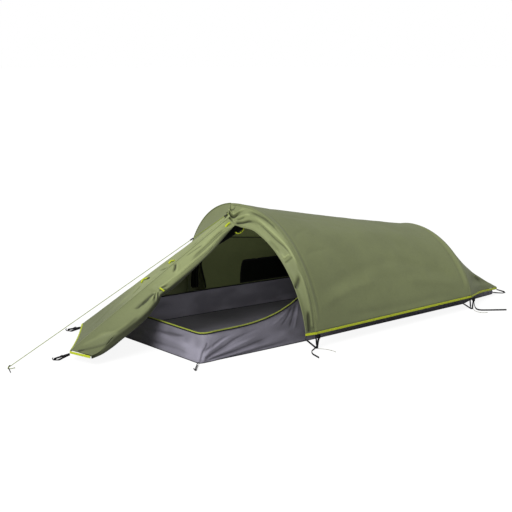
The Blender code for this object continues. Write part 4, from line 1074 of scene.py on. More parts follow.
FRONT_FOLDS = (
    (((0.52, 0.98), (0.56, 0.80), (0.60, 0.60)), 0.008, 0.0035),
    (((0.64, 0.99), (0.69, 0.82), (0.74, 0.60)), 0.008, -0.0040),
    (((0.80, 0.99), (0.85, 0.80), (0.89, 0.52)), 0.008, 0.0040),
    (((0.46, 0.62), (0.54, 0.52), (0.61, 0.44)), 0.010, 0.0035),
    (((0.905, 0.332), (0.840, 0.306), (0.720, 0.288), (0.575, 0.272)), 0.0070, -0.0170, (0.06, 0.45)),
    (((0.905, 0.350), (0.945, 0.341), (0.965, 0.318), (0.955, 0.290)), 0.0060, -0.0150, (0.10, 0.30)),
    (((0.88, 0.36), (0.85, 0.42), (0.83, 0.50)), 0.012, 0.0050),
    (((0.82, 0.28), (0.76, 0.25), (0.70, 0.20)), 0.016, -0.0035),
    (((0.600, 0.196), (0.640, 0.190), (0.691, 0.183), (0.760, 0.166)), 0.0055, -0.0110, (0.10, 0.45)),
    (((0.62, 0.16), (0.70, 0.13), (0.80, 0.11)), 0.018, 0.0035),
    (((0.52, 0.13), (0.62, 0.08), (0.75, 0.05)), 0.018, -0.0030),
)
FRONT_INSIDE = (-0.30, 0.12, 0.05)
FRONT_DRAW = (0.30, -0.60, -0.70)
# Painted shade low on the porch face, turning to painted highlight higher up, over this height range
FRONT_PAINTED_SHADING = (0.34, -0.50)
FRONT_PAINTED_SHADING_BOTTOM = 0.10
FRONT_PAINTED_SHADING_RISE = 0.24


def add_fly_front():
    """The far side of the porch and its front panel, from the hoop to the ridge and on to the door's edge."""
    count, half, rest = 230, 56, 124
    hoop_line = MAIN.even(HALF_TURN - MAIN_ANGLE, CROWN_SPLIT, count)
    top = GATHER + (0, 0.0003, 0)
    level = np.linspace(0, 1, count)[:, None]
    up = 1 - (1 - level) ** FRONT_PAIRING
    ridge = mix(FRONT_FAR + UP * HEM_LIFT, top, up)
    share = np.linspace(SEAM_GAP, 1.0, half)[None, :, None]
    drawn = np.array(FRONT_DRAW) * FRONT_HOLLOW * np.sin(HALF_TURN * share)
    side = mix(hoop_line[:, None], ridge[:, None], share) + drawn * np.sin(HALF_TURN * level)[:, None]
    share = np.linspace(0, 1, rest)[1:]
    high = mix(top, DOOR_EDGE_TOP, share[:, None])
    front = mix((front_hem(share) + UP * HEM_LIFT)[None], high[None], up[:, None])
    panel = np.concatenate([side, front], axis=1)
    panel, painted_shading = pressed(panel, FRONT_INSIDE, FRONT_FOLDS, slack=0.0030, seed=21)
    # Painted light on the porch face: painted shade near its hem, painted highlight towards the gather
    porch = ease((np.arange(panel.shape[1]) - half + 12) / 12)[None]
    height = ease((panel[..., 2] - FRONT_PAINTED_SHADING_BOTTOM) / FRONT_PAINTED_SHADING_RISE)
    painted_shading = painted_shading + porch * mix(*FRONT_PAINTED_SHADING, height)
    fly_piece("fly_front", panel, painted_shading)
    return panel


ROLL_FOLDS = (
    (((0.202, 0.95), (0.160, 0.86), (0.128, 0.78), (0.120, 0.68)), 0.0050, -0.0050),
    (((0.150, 0.97), (0.110, 0.88), (0.085, 0.79)), 0.0050, 0.0035),
    (((0.270, 0.95), (0.225, 0.86), (0.195, 0.75), (0.170, 0.66)), 0.0050, -0.0042),
    (((0.235, 0.95), (0.195, 0.86), (0.165, 0.75)), 0.0050, 0.0030),
    (((0.085, 0.80), (0.060, 0.74), (0.045, 0.69)), 0.0040, -0.0036),
    (((0.300, 0.86), (0.280, 0.75), (0.240, 0.62), (0.190, 0.53)), 0.0090, 0.0045),
    (((0.130, 0.452), (0.110, 0.425), (0.096, 0.380), (0.080, 0.330)), 0.0050, -0.0070, (0.10, 0.50)),
    (((0.130, 0.455), (0.240, 0.430), (0.340, 0.400)), 0.0040, -0.0050, (0.05, 0.50)),
    (((0.170, 0.462), (0.290, 0.436), (0.400, 0.412)), 0.0040, 0.0045, (0.05, 0.50)),
    (((0.210, 0.464), (0.330, 0.444), (0.440, 0.425)), 0.0040, -0.0055, (0.05, 0.50)),
    (((0.110, 0.458), (0.170, 0.430), (0.220, 0.390)), 0.0045, 0.0040, (0.05, 0.50)),
    (((0.150, 0.476), (0.240, 0.500), (0.330, 0.530)), 0.0050, -0.0055, (0.05, 0.50)),
    (((0.200, 0.472), (0.320, 0.488), (0.430, 0.500)), 0.0045, -0.0050, (0.05, 0.50)),
    (((0.120, 0.480), (0.170, 0.520), (0.210, 0.580)), 0.0060, 0.0040, (0.05, 0.50)),
    (
        ((0.043, 0.003), (0.078, 0.044), (0.113, 0.086), (0.170, 0.130), (0.300, 0.172)),
        0.0100,
        -0.0036,
        (0.02, 0.45),
    ),
    (((0.020, 0.030), (0.050, 0.080), (0.085, 0.130), (0.130, 0.190)), 0.0090, 0.0040),
    (((0.087, 0.322), (0.095, 0.350), (0.108, 0.390), (0.122, 0.428)), 0.0050, -0.0060, (0.15, 0.40)),
    (((0.010, 0.640), (0.050, 0.624), (0.078, 0.605), (0.098, 0.580)), 0.0050, -0.0110, (0.04, 0.35)),
    (((0.040, 0.645), (0.078, 0.630), (0.108, 0.606), (0.125, 0.575)), 0.0060, 0.0050, (0.10, 0.35)),
    (((0.050, 0.110), (0.120, 0.180), (0.160, 0.270)), 0.0090, 0.0040),
    (((0.180, 0.160), (0.220, 0.230), (0.230, 0.320)), 0.0080, -0.0035),
)
TIE_PLACE = 0.466
TIP_DROOP = 0.016
DOOR_EDGE_SHARES = (0.004, 0.985)
TIE_PINCH = 0.30
TIE_REACH = 0.016
WRAP_ANGLE = HALF_TURN * 0.62
ROLL_LEAST_RADIUS = 0.0035
ROLL_LARGEST_SHARE = 0.40
ROLL_BELLY = 0.0090
ROLL_EDGE_GAP = 0.0010
ROLL_TOP_GAP = 0.0015
# Painted shade and highlight along the roll, and the painted shade of its underside, which starts at these
# levels round it
ROLL_PAINTED_SHADING = (0.40, -0.50)
ROLL_SHADED_UNDERSIDE_LEVELS = (0.14, 0.30)
ROLL_UNDER_PAINTED_SHADE = 0.92


def add_fly_door():
    """The near door's cloth, doubled back along the front panel's edge and hanging below it."""
    count, around = 340, 116
    share = np.linspace(0, 1, count)
    fold_line = rounded(DOOR_FOLD_ROUTE, count)
    edge = door_edge(mix(*DOOR_EDGE_SHARES, share))
    top = edge + unit(fold_line - edge) * ROLL_TOP_GAP
    hang = fold_line - top
    down = unit(hang)
    out = unit(np.cross(ahead_of(fold_line), down))
    out = np.where(out[:, 1:2] > 0, -out, out)
    end = ease(np.minimum(share / 0.16, (1 - share) / 0.10))[:, None]
    largest = np.linalg.norm(hang, axis=1, keepdims=True) * ROLL_LARGEST_SHARE
    full = np.minimum(mix(ROLL_LEAST_RADIUS, DOOR_FOLD_RADIUS, end), largest)
    cinch = 1 - TIE_PINCH * np.exp(-(((share - TIE_PLACE) / TIE_REACH) ** 2))[:, None]
    centre = fold_line - down * full
    rings = []
    for angle in np.linspace(WRAP_ANGLE, -WRAP_ANGLE, 13):
        ripple = np.sin(5 * angle + 9 * share) * np.cos(angle * 0.8) ** 2
        pleat = 1 + 0.10 * ripple[:, None] * end
        rings.append(centre + (down * math.cos(angle) + out * math.sin(angle)) * full * cinch * pleat)
    belly = ROLL_BELLY * end
    outer = [top + out * ROLL_EDGE_GAP, mix(rings[0], top, 0.55) + out * belly]
    inner = [mix(rings[-1], top, 0.55) - out * belly, top - out * ROLL_EDGE_GAP]
    panel = spline_rows(np.array([*outer, *rings, *inner]), around).transpose(1, 0, 2)
    level = np.linspace(0, 1, around)
    panel[..., 2] -= TIP_DROOP * (1 - ease(share / 0.11))[:, None] * np.sin(HALF_TURN * level[None]) ** 2
    middle = panel[:, 30:-30].mean(axis=1, keepdims=True)
    panel, painted_shading = pressed(panel, middle, ROLL_FOLDS, slack=0.0018, seed=31)
    # Painted shade on the roll's underside, and along the roll painted shade near the tip turning to painted
    # highlight higher up
    below = ease((level - mix(*ROLL_SHADED_UNDERSIDE_LEVELS, ease(share / 0.7))[:, None]) / 0.20)
    painted_light_level = mix(*ROLL_PAINTED_SHADING, ease((share - 0.02) / 0.80))[:, None]
    painted_shading = painted_shading + painted_light_level * (1 - below) + ROLL_UNDER_PAINTED_SHADE * below
    fly_piece("fly_door", panel, painted_shading)


BODY = add_fly_body()
FOOT = add_fly_foot()
LIP_PANEL = add_fly_lip()
FRONT = add_fly_front()
add_fly_door()


# Seams and hem tapes of the fly

BINDING_THICKNESS = 0.0022
BINDING_DROP = 0.0010
FRONT_TAPE_SHIFT = -0.0030
DOOR_TAPE_RUN = (0.028, -0.150, 0.0020)
SEAM_START = 0.0004
SEAM_LIFT = 0.0009
SEAM_PROFILE = (0.15, 1.0, 0.75, 1.0, 0.75, 1.0, 0.15)
RIDGE_SEAM_RADIUS = 0.0024
COVER_RADIUS = 0.0046
COVER_SHIFT = (-0.001, -0.004, -0.001)


def hung_tape(name, points, width, thickness, material, node):
    """A tape that hangs below a line of points."""
    obj = ribbon(name, points - UP * width / 2, -UP, width, thickness, material)
    dress(obj, "tent", "bright_tape", node)


def add_hem_bindings():
    hoop, rear, tail = MAIN.at(MAIN_ANGLE), REAR.at(REAR_ANGLE), tail_edge(np.zeros(1))[0]
    share = np.linspace(0, 1, 60)[1:, None]
    curve = mix(rear, tail, share) + side_hollow(share)
    near = np.vstack([along([LIP_FOOT, hoop], 14)[:-1], along([hoop, rear], 120), curve])
    y = np.linspace(-TAIL_HALF_WIDTH, TAIL_HALF_WIDTH, 60)[1:-1, None]
    across = np.hstack([np.full_like(y, TAIL_X), y, np.full_like(y, tail[2])])
    line = np.vstack([near, across, near[14:][::-1] * (1, -1, 1)]) - UP * BINDING_DROP
    hung_tape("hem_tape_body", line, BINDING_WIDTH, BINDING_THICKNESS, TAPE, "hem_binding_body")
    foot = hoop * (1, -1, 1) + (FRONT_TAPE_SHIFT, 0, -HEM_LIFT)
    door = FRONT_TIP + np.array(DOOR_TAPE_RUN) * np.linspace(0, 1, 30)[1:, None]
    line = np.vstack([along([foot, FRONT_FAR], 60), front_hem(share[:, 0]), door]) + UP * BINDING_WIDTH
    hung_tape("hem_tape_front", line, BINDING_WIDTH, BINDING_THICKNESS, TAPE, "hem_binding_front")


def seam_strip(name, panel, inner, width, lift=SEAM_LIFT, material=FLY, slot="fly_cloth"):
    """A raised, double-stitched seam allowance laid on a panel beside its first row."""
    travel = travel_of(panel[:, panel.shape[1] // 2])
    strip = []
    for place in np.linspace(SEAM_START, width, len(SEAM_PROFILE)):
        k = int(np.searchsorted(travel, place)) - 1
        strip.append(mix(panel[k], panel[k + 1], (place - travel[k]) / (travel[k + 1] - travel[k])))
    strip = np.array(strip)
    rise = np.array(SEAM_PROFILE)[:, None, None] * lift
    dress(grid(name, strip + outward_normals(strip, inner) * rise, material), "tent", slot)


def add_rolled_seams():
    """One on the ridge beside the folded door, and one inside that closes the hoop's seam."""
    ridge = door_edge(np.linspace(*DOOR_EDGE_SHARES, 200))
    cover = FRONT[::4, 0] + np.array(COVER_SHIFT)
    dress(tube("door_ridge_seam", ridge, RIDGE_SEAM_RADIUS, FLY, sides=10), "tent", "fly_cloth")
    dress(tube("hoop_seam_cover", cover, COVER_RADIUS, CANOPY, sides=8), "tent", "canopy_cloth")


add_hem_bindings()
seam_strip("hoop_seam_body", BODY, BODY_INSIDE, 0.011)
seam_strip("hoop_seam_lip", LIP_PANEL, LIP_INSIDE, 0.012)
seam_strip("hoop_seam_front", FRONT.transpose(1, 0, 2), FRONT_INSIDE, 0.012, lift=0.0030)
add_rolled_seams()
seam_strip("rear_seam_body", BODY[::-1], BODY_INSIDE, 0.010)
seam_strip("rear_seam_foot", FOOT, BODY_INSIDE, 0.010)
seam_strip("lip_hem", LIP_PANEL[::-1], LIP_INSIDE, 0.010)
seam_strip("front_hem_face", FRONT, FRONT_INSIDE, 0.012, 0.0014, TAPE, "bright_tape")


# Sleeves and poles

SLEEVE_SEAM = 0.0018
SLEEVE_CREASE = 0.05


def add_sleeve(name, arch, angle, count):
    """A round sleeve with a seam allowance that stands up along its outer side."""
    line = arch.even(angle, HALF_TURN - angle, count)
    plane = unit(np.array((arch.height, 0, -arch.lean)))
    out = np.cross(plane, ahead_of(line))
    ring = []
    for turn in 2 * HALF_TURN * np.arange(20) / 20:
        reach = SLEEVE_RADIUS + SLEEVE_SEAM * max(0.0, math.sin(turn)) ** 8
        crease = 1 + SLEEVE_CREASE * np.sin(np.arange(count) * 0.9 + 3 * turn)[:, None]
        ring.append(line + (plane * math.cos(turn) + out * math.sin(turn)) * reach * crease)
    panel = np.array(ring).transpose(1, 0, 2)
    dress(grid(f"{name}_cloth", panel, SLEEVE, wrap=True), "tent", "sleeve_cloth", name)


add_sleeve("main_pole_sleeve", MAIN.smaller(POLE_INSET, POLE_SHIFT), MAIN_ANGLE, 150)
add_sleeve("rear_pole_sleeve", REAR.smaller(POLE_INSET, -POLE_SHIFT), REAR_ANGLE, 120)
for node_name, node in NODES.items():
    if "_pole_" in node_name and not node_name.endswith("sleeve"):
        node.data.materials.clear()
        node.data.materials.append(POLE_METAL)


# Tub of the inner tent

FLOOR_LIFT = 0.00075
TUB_INSIDE = (0.4, 0.0, 0.06)
TUB_THICKNESS = 0.0005
TUB_SLACK = 0.005
TUB_SLACK_RUN = 0.60
TUB_DENSE_RUN = 0.72
NEAR_SIDE_Y = -0.30
NEAR_HEAD_WALL = TUB_HEAD_WALL + 0.004
NEAR_HEAD_RUN = 0.12
FAR_HEAD_RUN = 0.34
CORNER_REACH = (0.008, 0.058)
# Painted shading of the tub's walls: painted highlight by the near head corner turning to painted shade
# further along the near wall, likewise on the head wall, and painted highlight on the other walls
NEAR_WALL_PAINTED_SHADING = (-0.30, 0.20)
HEAD_WALL_PAINTED_SHADING = (-0.30, 0.08)
FAR_WALLS_PAINTED_HIGHLIGHT = -0.22
TUB_WAVES = ((0.0030, (0.14, 0.14, 0.05), 41), (0.0014, (0.05, 0.05, 0.03), 43))
FLOOR_INSET = 0.004
FLOOR_RUCK = 0.006
FLOOR_WAVE = (0.20, 0.13, 1.0)
# Painted shade on the tub's floor, growing towards the foot end from this place over this run
FLOOR_PAINTED_SHADE = 0.58
FLOOR_PAINTED_SHADE_X = -0.28
FLOOR_PAINTED_SHADE_RUN = 0.35
PIPING_RADIUS = 0.0022
PIPING_LIFT = 0.0010
RIM_RADIUS = 0.0038


def tub_half_width(x):
    return np.interp(x, *zip(*TUB_WIDTHS))


def wall_height(x, near):
    """Height of the tub's wall. On the near side it climbs to the hoop, where the door's zip ends."""
    x = np.asarray(x, float)
    taper = np.clip((x - TUB_TAPER_X) / (TUB_TAIL_X - TUB_TAPER_X), 0, None)
    drop = np.clip(1 - (x - SILL_END_X) / (SILL_DROP_X - SILL_END_X), 0, 1)
    rear = mix(TUB_WALL, TUB_TAIL_WALL, taper) + (SILL_RISE * drop if near else 0)
    if near:
        climb = np.clip((x - SILL_START_X) / (SILL_END_X - SILL_START_X), 0, 1) ** 3
        head = mix(NEAR_HEAD_WALL, TUB_WALL, ease((x - TUB_HEAD_X) / NEAR_HEAD_RUN)) + SILL_RISE * climb
    else:
        head = mix(TUB_FAR_CORNER, TUB_WALL, ease((x - TUB_HEAD_X) / FAR_HEAD_RUN))
    return np.where(x > SILL_END_X, rear, head)


def head_height(y):
    return mix(NEAR_HEAD_WALL, TUB_FAR_CORNER, ease((y - 0.02) / TUB_WIDTHS[0][1]))


def corner_cut(reach):
    """How far the tub is narrowed beside its ends, so that its corners are soft."""
    return TUB_CORNER * 0.3 * np.clip(1 - reach / TUB_CORNER, 0, None) ** 2


def tub_ring(rise, inset=0.0):
    """One level of the tub, from the ground at 0 to the top edge at 1, starting at the near head corner."""
    head = TUB_HEAD_X + TUB_HEAD_LEAN * rise + inset
    tail = TUB_TAIL_X - inset
    corner, dense = np.linspace(0, TUB_CORNER, 8), np.linspace(TUB_CORNER, TUB_DENSE_RUN, 100)[1:]
    middle = np.linspace(head + TUB_DENSE_RUN, tail - TUB_CORNER, 130)[1:]
    end = tail - np.linspace(TUB_CORNER, 0, 6)[1:]
    xs = np.concatenate([head + corner, head + dense, middle, end])
    ring = []
    for near in (True, False):
        x = xs if near else xs[::-1]
        width = tub_half_width(x) - TUB_WALL_LEAN * rise - inset - corner_cut(np.minimum(x - head, tail - x))
        y = -width if near else width
        z = np.where(x > head + 1e-9, wall_height(x, near), head_height(y))
        ring.append(np.stack([x, y, z * rise], axis=1))
        y = np.linspace(y[-1], -y[-1], 70)[1:-1]
        z = np.full(len(y), TUB_TAIL_WALL) if near else head_height(y)
        ring.append(np.stack([np.full(len(y), tail if near else head), y, z * rise], axis=1))
    return eased_corner(np.vstack(ring), mix(*CORNER_REACH, rise))


def eased_corner(ring, reach):
    """A ring of points whose first corner is rounded over that reach."""
    ahead = travel_of(ring)
    total = ahead[-1] + np.linalg.norm(ring[0] - ring[-1])
    behind = total - ahead
    before, after = read_off(np.array((total - reach, reach)), ahead, ring)
    share = np.where(ahead < reach, 0.5 + 0.5 * ahead / reach, 0.5 - 0.5 * behind / reach)[:, None]
    bend = before * (1 - share) ** 2 + ring[0] * 2 * share * (1 - share) + after * share**2
    return np.where((np.minimum(ahead, behind) < reach)[:, None], bend, ring)


TUB_FOLDS = (
    (
        ((0.010, 0.90), (0.021, 0.76), (0.038, 0.56), (0.057, 0.37), (0.095, 0.18)),
        0.0065,
        -0.0060,
        (0.10, 0.35),
    ),
    (((0.010, 0.80), (0.018, 0.62), (0.036, 0.36), (0.060, 0.20)), 0.0055, 0.0050, (0.10, 0.35)),
    (((0.008, 0.62), (0.020, 0.44), (0.036, 0.26), (0.050, 0.18)), 0.0045, -0.0040, (0.10, 0.35)),
    (((0.012, 0.92), (0.030, 0.80), (0.060, 0.62), (0.095, 0.46)), 0.0070, 0.0055, (0.10, 0.35)),
    (((0.010, 0.95), (0.040, 0.84), (0.083, 0.70), (0.110, 0.60)), 0.0065, -0.0060, (0.10, 0.35)),
    (((0.012, 0.97), (0.050, 0.92), (0.090, 0.84), (0.130, 0.80)), 0.0060, 0.0045, (0.10, 0.35)),
    (((0.020, 0.99), (0.060, 0.95), (0.110, 0.90), (0.150, 0.88)), 0.0060, -0.0045, (0.10, 0.35)),
    (((0.0115, 0.28), (0.0105, 0.45), (0.0060, 0.64), (0.0020, 0.97)), 0.0042, -0.0060, (0.12, 0.02)),
    (((0.0205, 0.36), (0.0165, 0.55), (0.0120, 0.75), (0.0080, 0.95)), 0.0050, 0.0040, (0.20, 0.10)),
    (((0.935, 0.36), (0.960, 0.34), (0.985, 0.22)), 0.0070, -0.0050),
    (((0.930, 0.50), (0.960, 0.52), (0.992, 0.60)), 0.0140, 0.0060),
    (((0.940, 0.80), (0.970, 0.76), (0.994, 0.78)), 0.0110, -0.0040),
    (((0.148, 0.04), (0.144, 0.30), (0.139, 0.60)), 0.0060, -0.0036),
    (((0.142, 0.04), (0.134, 0.26), (0.124, 0.44)), 0.0055, -0.0034),
    (((0.152, 0.08), (0.150, 0.40), (0.147, 0.70)), 0.0060, 0.0036),
    (((0.135, 0.08), (0.122, 0.20), (0.108, 0.30)), 0.0050, 0.0028),
)


def add_tub_walls():
    """Walls with slack folds beside the near head corner. Returns their top and foot lines."""
    levels = np.linspace(1.0, 0.0, 34)
    corner = np.array((TUB_HEAD_X, -TUB_WIDTHS[0][1], 0.0))
    rows = []
    for rise in levels:
        ring = tub_ring(rise, 0.004 * (1 - rise) ** 4) + UP * FLOOR_LIFT
        away = np.linalg.norm((ring - corner) * LEVEL, axis=1)
        near_wall = (ring[:, 1] < NEAR_SIDE_Y) & (ring[:, 0] < 0.0)
        slack = TUB_SLACK * math.sin(HALF_TURN * rise) * np.sin(16 * away + 5 * rise)
        slack = slack * ease(1 - away / TUB_SLACK_RUN)
        ring[:, 1] += np.where(near_wall, slack, 0.0)
        rows.append(ring)
    panel = np.array(rows)
    hold = ease(np.minimum(levels, 1 - levels) / 0.14)[:, None]
    lift = sum(depth * cloudy(panel, size, seed) * hold for depth, size, seed in TUB_WAVES)
    for route, width, height, *fade in TUB_FOLDS:
        lift += fold_height(panel, route, width, height, *fade)
    panel = panel + outward_normals(panel, TUB_INSIDE) * lift[..., None]
    # Painted shading by place on the walls, plus painted shade where a wall is pressed in and painted
    # highlight where it bulges out
    away = np.linalg.norm(panel - panel[-1, 0], axis=-1)
    near = panel[..., 1] < NEAR_SIDE_Y
    head = (panel[..., 0] < TUB_HEAD_X + 0.07) & (panel[..., 1] < 0.45)
    painted_shading = np.where(near, mix(*NEAR_WALL_PAINTED_SHADING, ease(away / TUB_SLACK_RUN)), FAR_WALLS_PAINTED_HIGHLIGHT)
    painted_shading = np.where(head, mix(*HEAD_WALL_PAINTED_SHADING, ease((away - 0.08) / 0.16)), painted_shading)
    painted_shading = painted_shading + np.clip(-lift / 0.0090, -0.15, 0.55)
    walls = grid("tub_walls_cloth", panel, TUB, wrap=True, thickness=TUB_THICKNESS, painted_shading=painted_shading)
    dress(walls, "tent", "tub_cloth", "inner_tub")
    closed = np.concatenate([panel, panel[:, :1]], axis=1)
    declare(closed)
    return closed[0], closed[-1]


def add_tub_floor():
    """A floor with soft rucks, and painted shade that deepens towards the foot end."""
    x = np.linspace(TUB_HEAD_X + FLOOR_INSET, TUB_TAIL_X - FLOOR_INSET, 150)[:, None]
    reach = np.minimum(x - x[0], x[-1] - x)
    width = tub_half_width(x) - FLOOR_INSET - corner_cut(reach)
    across = np.linspace(-1, 1, 70)[None]
    floor = np.stack(np.broadcast_arrays(x, width * across, FLOOR_LIFT), axis=-1)
    edge = np.minimum((1 - np.abs(across)) * width, reach)
    ruck = 0.5 + 0.5 * cloudy(floor, FLOOR_WAVE, 51)
    floor[..., 2] += FLOOR_RUCK * ruck**2 * ease(edge / 0.05)
    painted_shading = FLOOR_PAINTED_SHADE * ease((floor[..., 0] - FLOOR_PAINTED_SHADE_X) / FLOOR_PAINTED_SHADE_RUN)
    base = grid("tub_floor_cloth", floor, TUB, thickness=TUB_THICKNESS, painted_shading=painted_shading)
    dress(base, "tent", "tub_cloth", "inner_tub")
    declare(floor)


TUB_TOP, TUB_FOOT = add_tub_walls()
add_tub_floor()
dress(tube("tub_piping", TUB_FOOT + UP * PIPING_LIFT, PIPING_RADIUS, PIPING, sides=8), "tent", "tub_cloth")
dress(tube("tub_rim", TUB_TOP, RIM_RADIUS, RIM, sides=8), "tent", "tub_cloth")


# Canopy of the inner tent, with its mesh window

CANOPY_COLUMNS = 151
CANOPY_LIFT = 0.0018
CANOPY_HALF_WIDTHS = (0.424, 0.352)
CANOPY_HEIGHTS = (0.650, 0.392)
CANOPY_INSIDE = (0.45, 0.0, 0.12)
CANOPY_THICKNESS = 0.0005
CANOPY_WAVES = ((0.0040, (0.22, 0.12, 0.10), 61), (0.0018, (0.07, 0.05, 0.05), 63))
WINDOW_THICKNESS = 0.0004
BORDER_TAPE = (0.011, 0.0008)
BORDER_GAP = 0.0022
BORDER_FACES = (0, -0.93, -0.36)


def canopy_arch(x):
    share = (x - CANOPY_FRONT_X) / (CANOPY_REAR_X - CANOPY_FRONT_X)
    return Arch(x, mix(*CANOPY_HALF_WIDTHS, share), mix(*CANOPY_HEIGHTS, share), CANOPY_LEAN, CANOPY_FULLNESS)


def tub_top(x, near):
    width = float(tub_half_width(x)) - TUB_WALL_LEAN
    return np.array((x, -width if near else width, float(wall_height(x, near)) + CANOPY_LIFT))


def canopy_row(x):
    """One row of the canopy, from the near edge of the tub over to the far one."""
    arch = canopy_arch(x)
    near, far = tub_top(x, True), tub_top(x, False)
    row = arch.even(arch.angle_at(near[2]), HALF_TURN - arch.angle_at(far[2]), CANOPY_COLUMNS)
    s = np.linspace(0, 1, CANOPY_COLUMNS)
    skew = CANOPY_FRONT_SKEW * ease(1 - (x - CANOPY_FRONT_X) / 0.2)
    low = ease(1 - np.minimum(s, 1 - s) * 6)
    row[:, 1] = mix(row[:, 1], np.where(s < 0.5, near[1], far[1]), low)
    row[:, 0] = mix(row[:, 0], x, low)
    row[:, 0] -= skew * ease(s) * np.where(s > 0.5, 1 - np.maximum(0.0, low - 0.2), 1.0)
    row[0], row[-1] = near, far
    return row


def canopy_panel():
    """All rows of the canopy, down to its low edge over the tail."""
    stations = np.unique(np.concatenate([np.linspace(SILL_END_X, CANOPY_REAR_X, 100), WINDOW_X]))
    rows = [canopy_row(float(x)) for x in stations]
    last = rows[-1]
    s = np.linspace(0, 1, CANOPY_COLUMNS)
    side = np.where(s < 0.5, -1.0, 1.0)
    edge = np.minimum(s, 1 - s) / 0.5
    corner = tub_top(CANOPY_END_X, False)
    across = side * corner[1] * (1 - ease((edge - 0.2) / 0.8))
    end = np.stack([np.full(len(s), corner[0]), across, np.full(len(s), corner[2])], axis=1)
    for x in np.linspace(CANOPY_REAR_X, CANOPY_END_X, 30)[1:]:
        share = (x - CANOPY_REAR_X) / (CANOPY_END_X - CANOPY_REAR_X)
        near, far = tub_top(x, True), tub_top(x, False)
        rim = np.where((s < 0.5)[:, None], near, far)
        row = mix(mix(last, end, share), rim, ease(1 - edge / 0.16)[:, None])
        row[0], row[-1] = near, far
        rows.append(row)
    return np.array(rows)


def box_cut(obj, keep_inside, thickness):
    """Cuts the far side's window shape out of a canopy sheet, or keeps only that shape."""
    bm = bmesh.new()
    bm.from_mesh(obj.data)
    for axis, limits in ((0, WINDOW_X), (2, WINDOW_Z)):
        for limit in limits:
            normal = [float(k == axis) for k in range(3)]
            place = [limit * share for share in normal]
            geometry = [*bm.verts, *bm.edges, *bm.faces]
            bmesh.ops.bisect_plane(bm, geom=geometry, plane_co=place, plane_no=normal)
    gone = []
    for face in bm.faces:
        centre = face.calc_center_median()
        inside = WINDOW_X[0] < centre.x < WINDOW_X[1] and WINDOW_Z[0] < centre.z < WINDOW_Z[1]
        if (inside and centre.y > 0.2) != keep_inside:
            gone.append(face)
    bmesh.ops.delete(bm, geom=gone, context="FACES")
    bm.to_mesh(obj.data)
    bm.free()
    obj.data.shade_smooth()
    thicken(obj, thickness)


def add_window_border(flat):
    """Tape round the window, laid on the canopy's inner side."""
    (x0, x1), (z0, z1) = WINDOW_X, WINDOW_Z
    corners = ((x0, z1), (x1, z1), (x1, z0), (x0, z0), (x0, z1))
    line = [np.array(corners[:1])]
    for one, other, count in zip(corners, corners[1:], (40, 14, 40, 14)):
        line.append(np.linspace(one, other, count)[1:])
    far = flat[:, CANOPY_COLUMNS // 2 :].reshape(-1, 3)
    path = []
    for x, z in np.vstack(line):
        k = np.argmin((far[:, 0] - x) ** 2 + (far[:, 2] - z) ** 2)
        path.append((x, far[k, 1] - BORDER_GAP, z))
    path = np.array(path)
    out = np.array(BORDER_FACES)
    side = unit(np.cross(ahead_of(path), out))
    dress(sweep("window_border", path, side, out, band_profile(*BORDER_TAPE), WEBBING), "tent", "webbing")


def add_canopy():
    """The canopy with its slackness, the window in its far side and the tape round that."""
    flat = canopy_panel()
    s = np.linspace(0, 1, CANOPY_COLUMNS)[None]
    hold = ease(np.minimum(s, 1 - s) / 0.06)
    still = ease((0.36 - np.abs(flat[..., 0] - 0.5)) / 0.06) * (flat[..., 1] > 0.1)
    still = still * ease((0.36 - flat[..., 2]) / 0.03)
    lift = sum(depth * cloudy(flat, size, seed) for depth, size, seed in CANOPY_WAVES)
    lift = np.abs(lift * hold * (1 - still))
    panel = flat - outward_normals(flat, flat * (1, 0, 0)) * lift[..., None]
    # Painted highlight on the canopy: stronger from its near edge over the top to the roof seam, weaker on
    # the far side beyond it
    painted_light_level = np.broadcast_to(mix(-0.34, -0.10, ease((s - 0.745) / 0.02)), panel.shape[:2])
    obj = grid("canopy_cloth", panel, CANOPY, thickness=0.0, painted_shading=painted_light_level)
    box_cut(obj, False, CANOPY_THICKNESS)
    dress(obj, "tent", "canopy_cloth", "inner_canopy")
    declare(panel)
    window = grid("window_mesh", panel, NET, thickness=0.0)
    box_cut(window, True, WINDOW_THICKNESS)
    dress(window, "tent", "insect_mesh", "inner_window")
    add_window_border(flat)
    return panel


CANOPY_PANEL = add_canopy()


# Strips laid on the canopy, between two routes given in shares of it

MESH_WEDGE = (
    ((0.640, 0.030), (0.720, 0.020), (0.790, 0.004), (0.850, 0.000)),
    ((0.700, 0.118), (0.767, 0.077), (0.813, 0.038), (0.860, 0.006)),
)
DOOR_SEAM = [[(u, v) for u in (0.852, 0.900, 0.950, 0.992)] for v in (0.000, 0.006)]
ROOF_SEAM = [[(u, v) for v in (0.080, 0.200, 0.400, 0.700)] for u in (0.757, 0.763)]


def patch(name, routes, lift, material, slot, painted_shading=0.0):
    first, second = (rounded([(u, v, 0.0) for u, v in route], 60) for route in routes)
    shares = mix(first[:, None], second[:, None], np.linspace(0, 1, 8)[None, :, None])
    strip = spot(CANOPY_PANEL, shares[..., 0], shares[..., 1])
    strip = strip - outward_normals(strip, CANOPY_INSIDE) * lift
    obj = grid(name, strip, material, painted_shading=np.full(strip.shape[:2], painted_shading))
    dress(obj, "tent", slot, "inner_canopy")


patch("inner_mesh_wedge", MESH_WEDGE, 0.0016, NET, "insect_mesh")
patch("inner_door_seam", DOOR_SEAM, 0.0014, NET, "insect_mesh")
# A strip along the roof seam with strong painted shade
patch("inner_roof_seam", ROOF_SEAM, 0.0012, CANOPY, "canopy_cloth", painted_shading=0.9)


# Gathered door of the inner tent, and its zip

ZIP_WIDTH = 0.0085
ZIP_THICKNESS = 0.0014
ZIP_LIFT = 0.00135
TEETH_HEIGHT = 0.0068
TEETH_RADIUS = 0.0014
TOOTH_STEP = 1.05


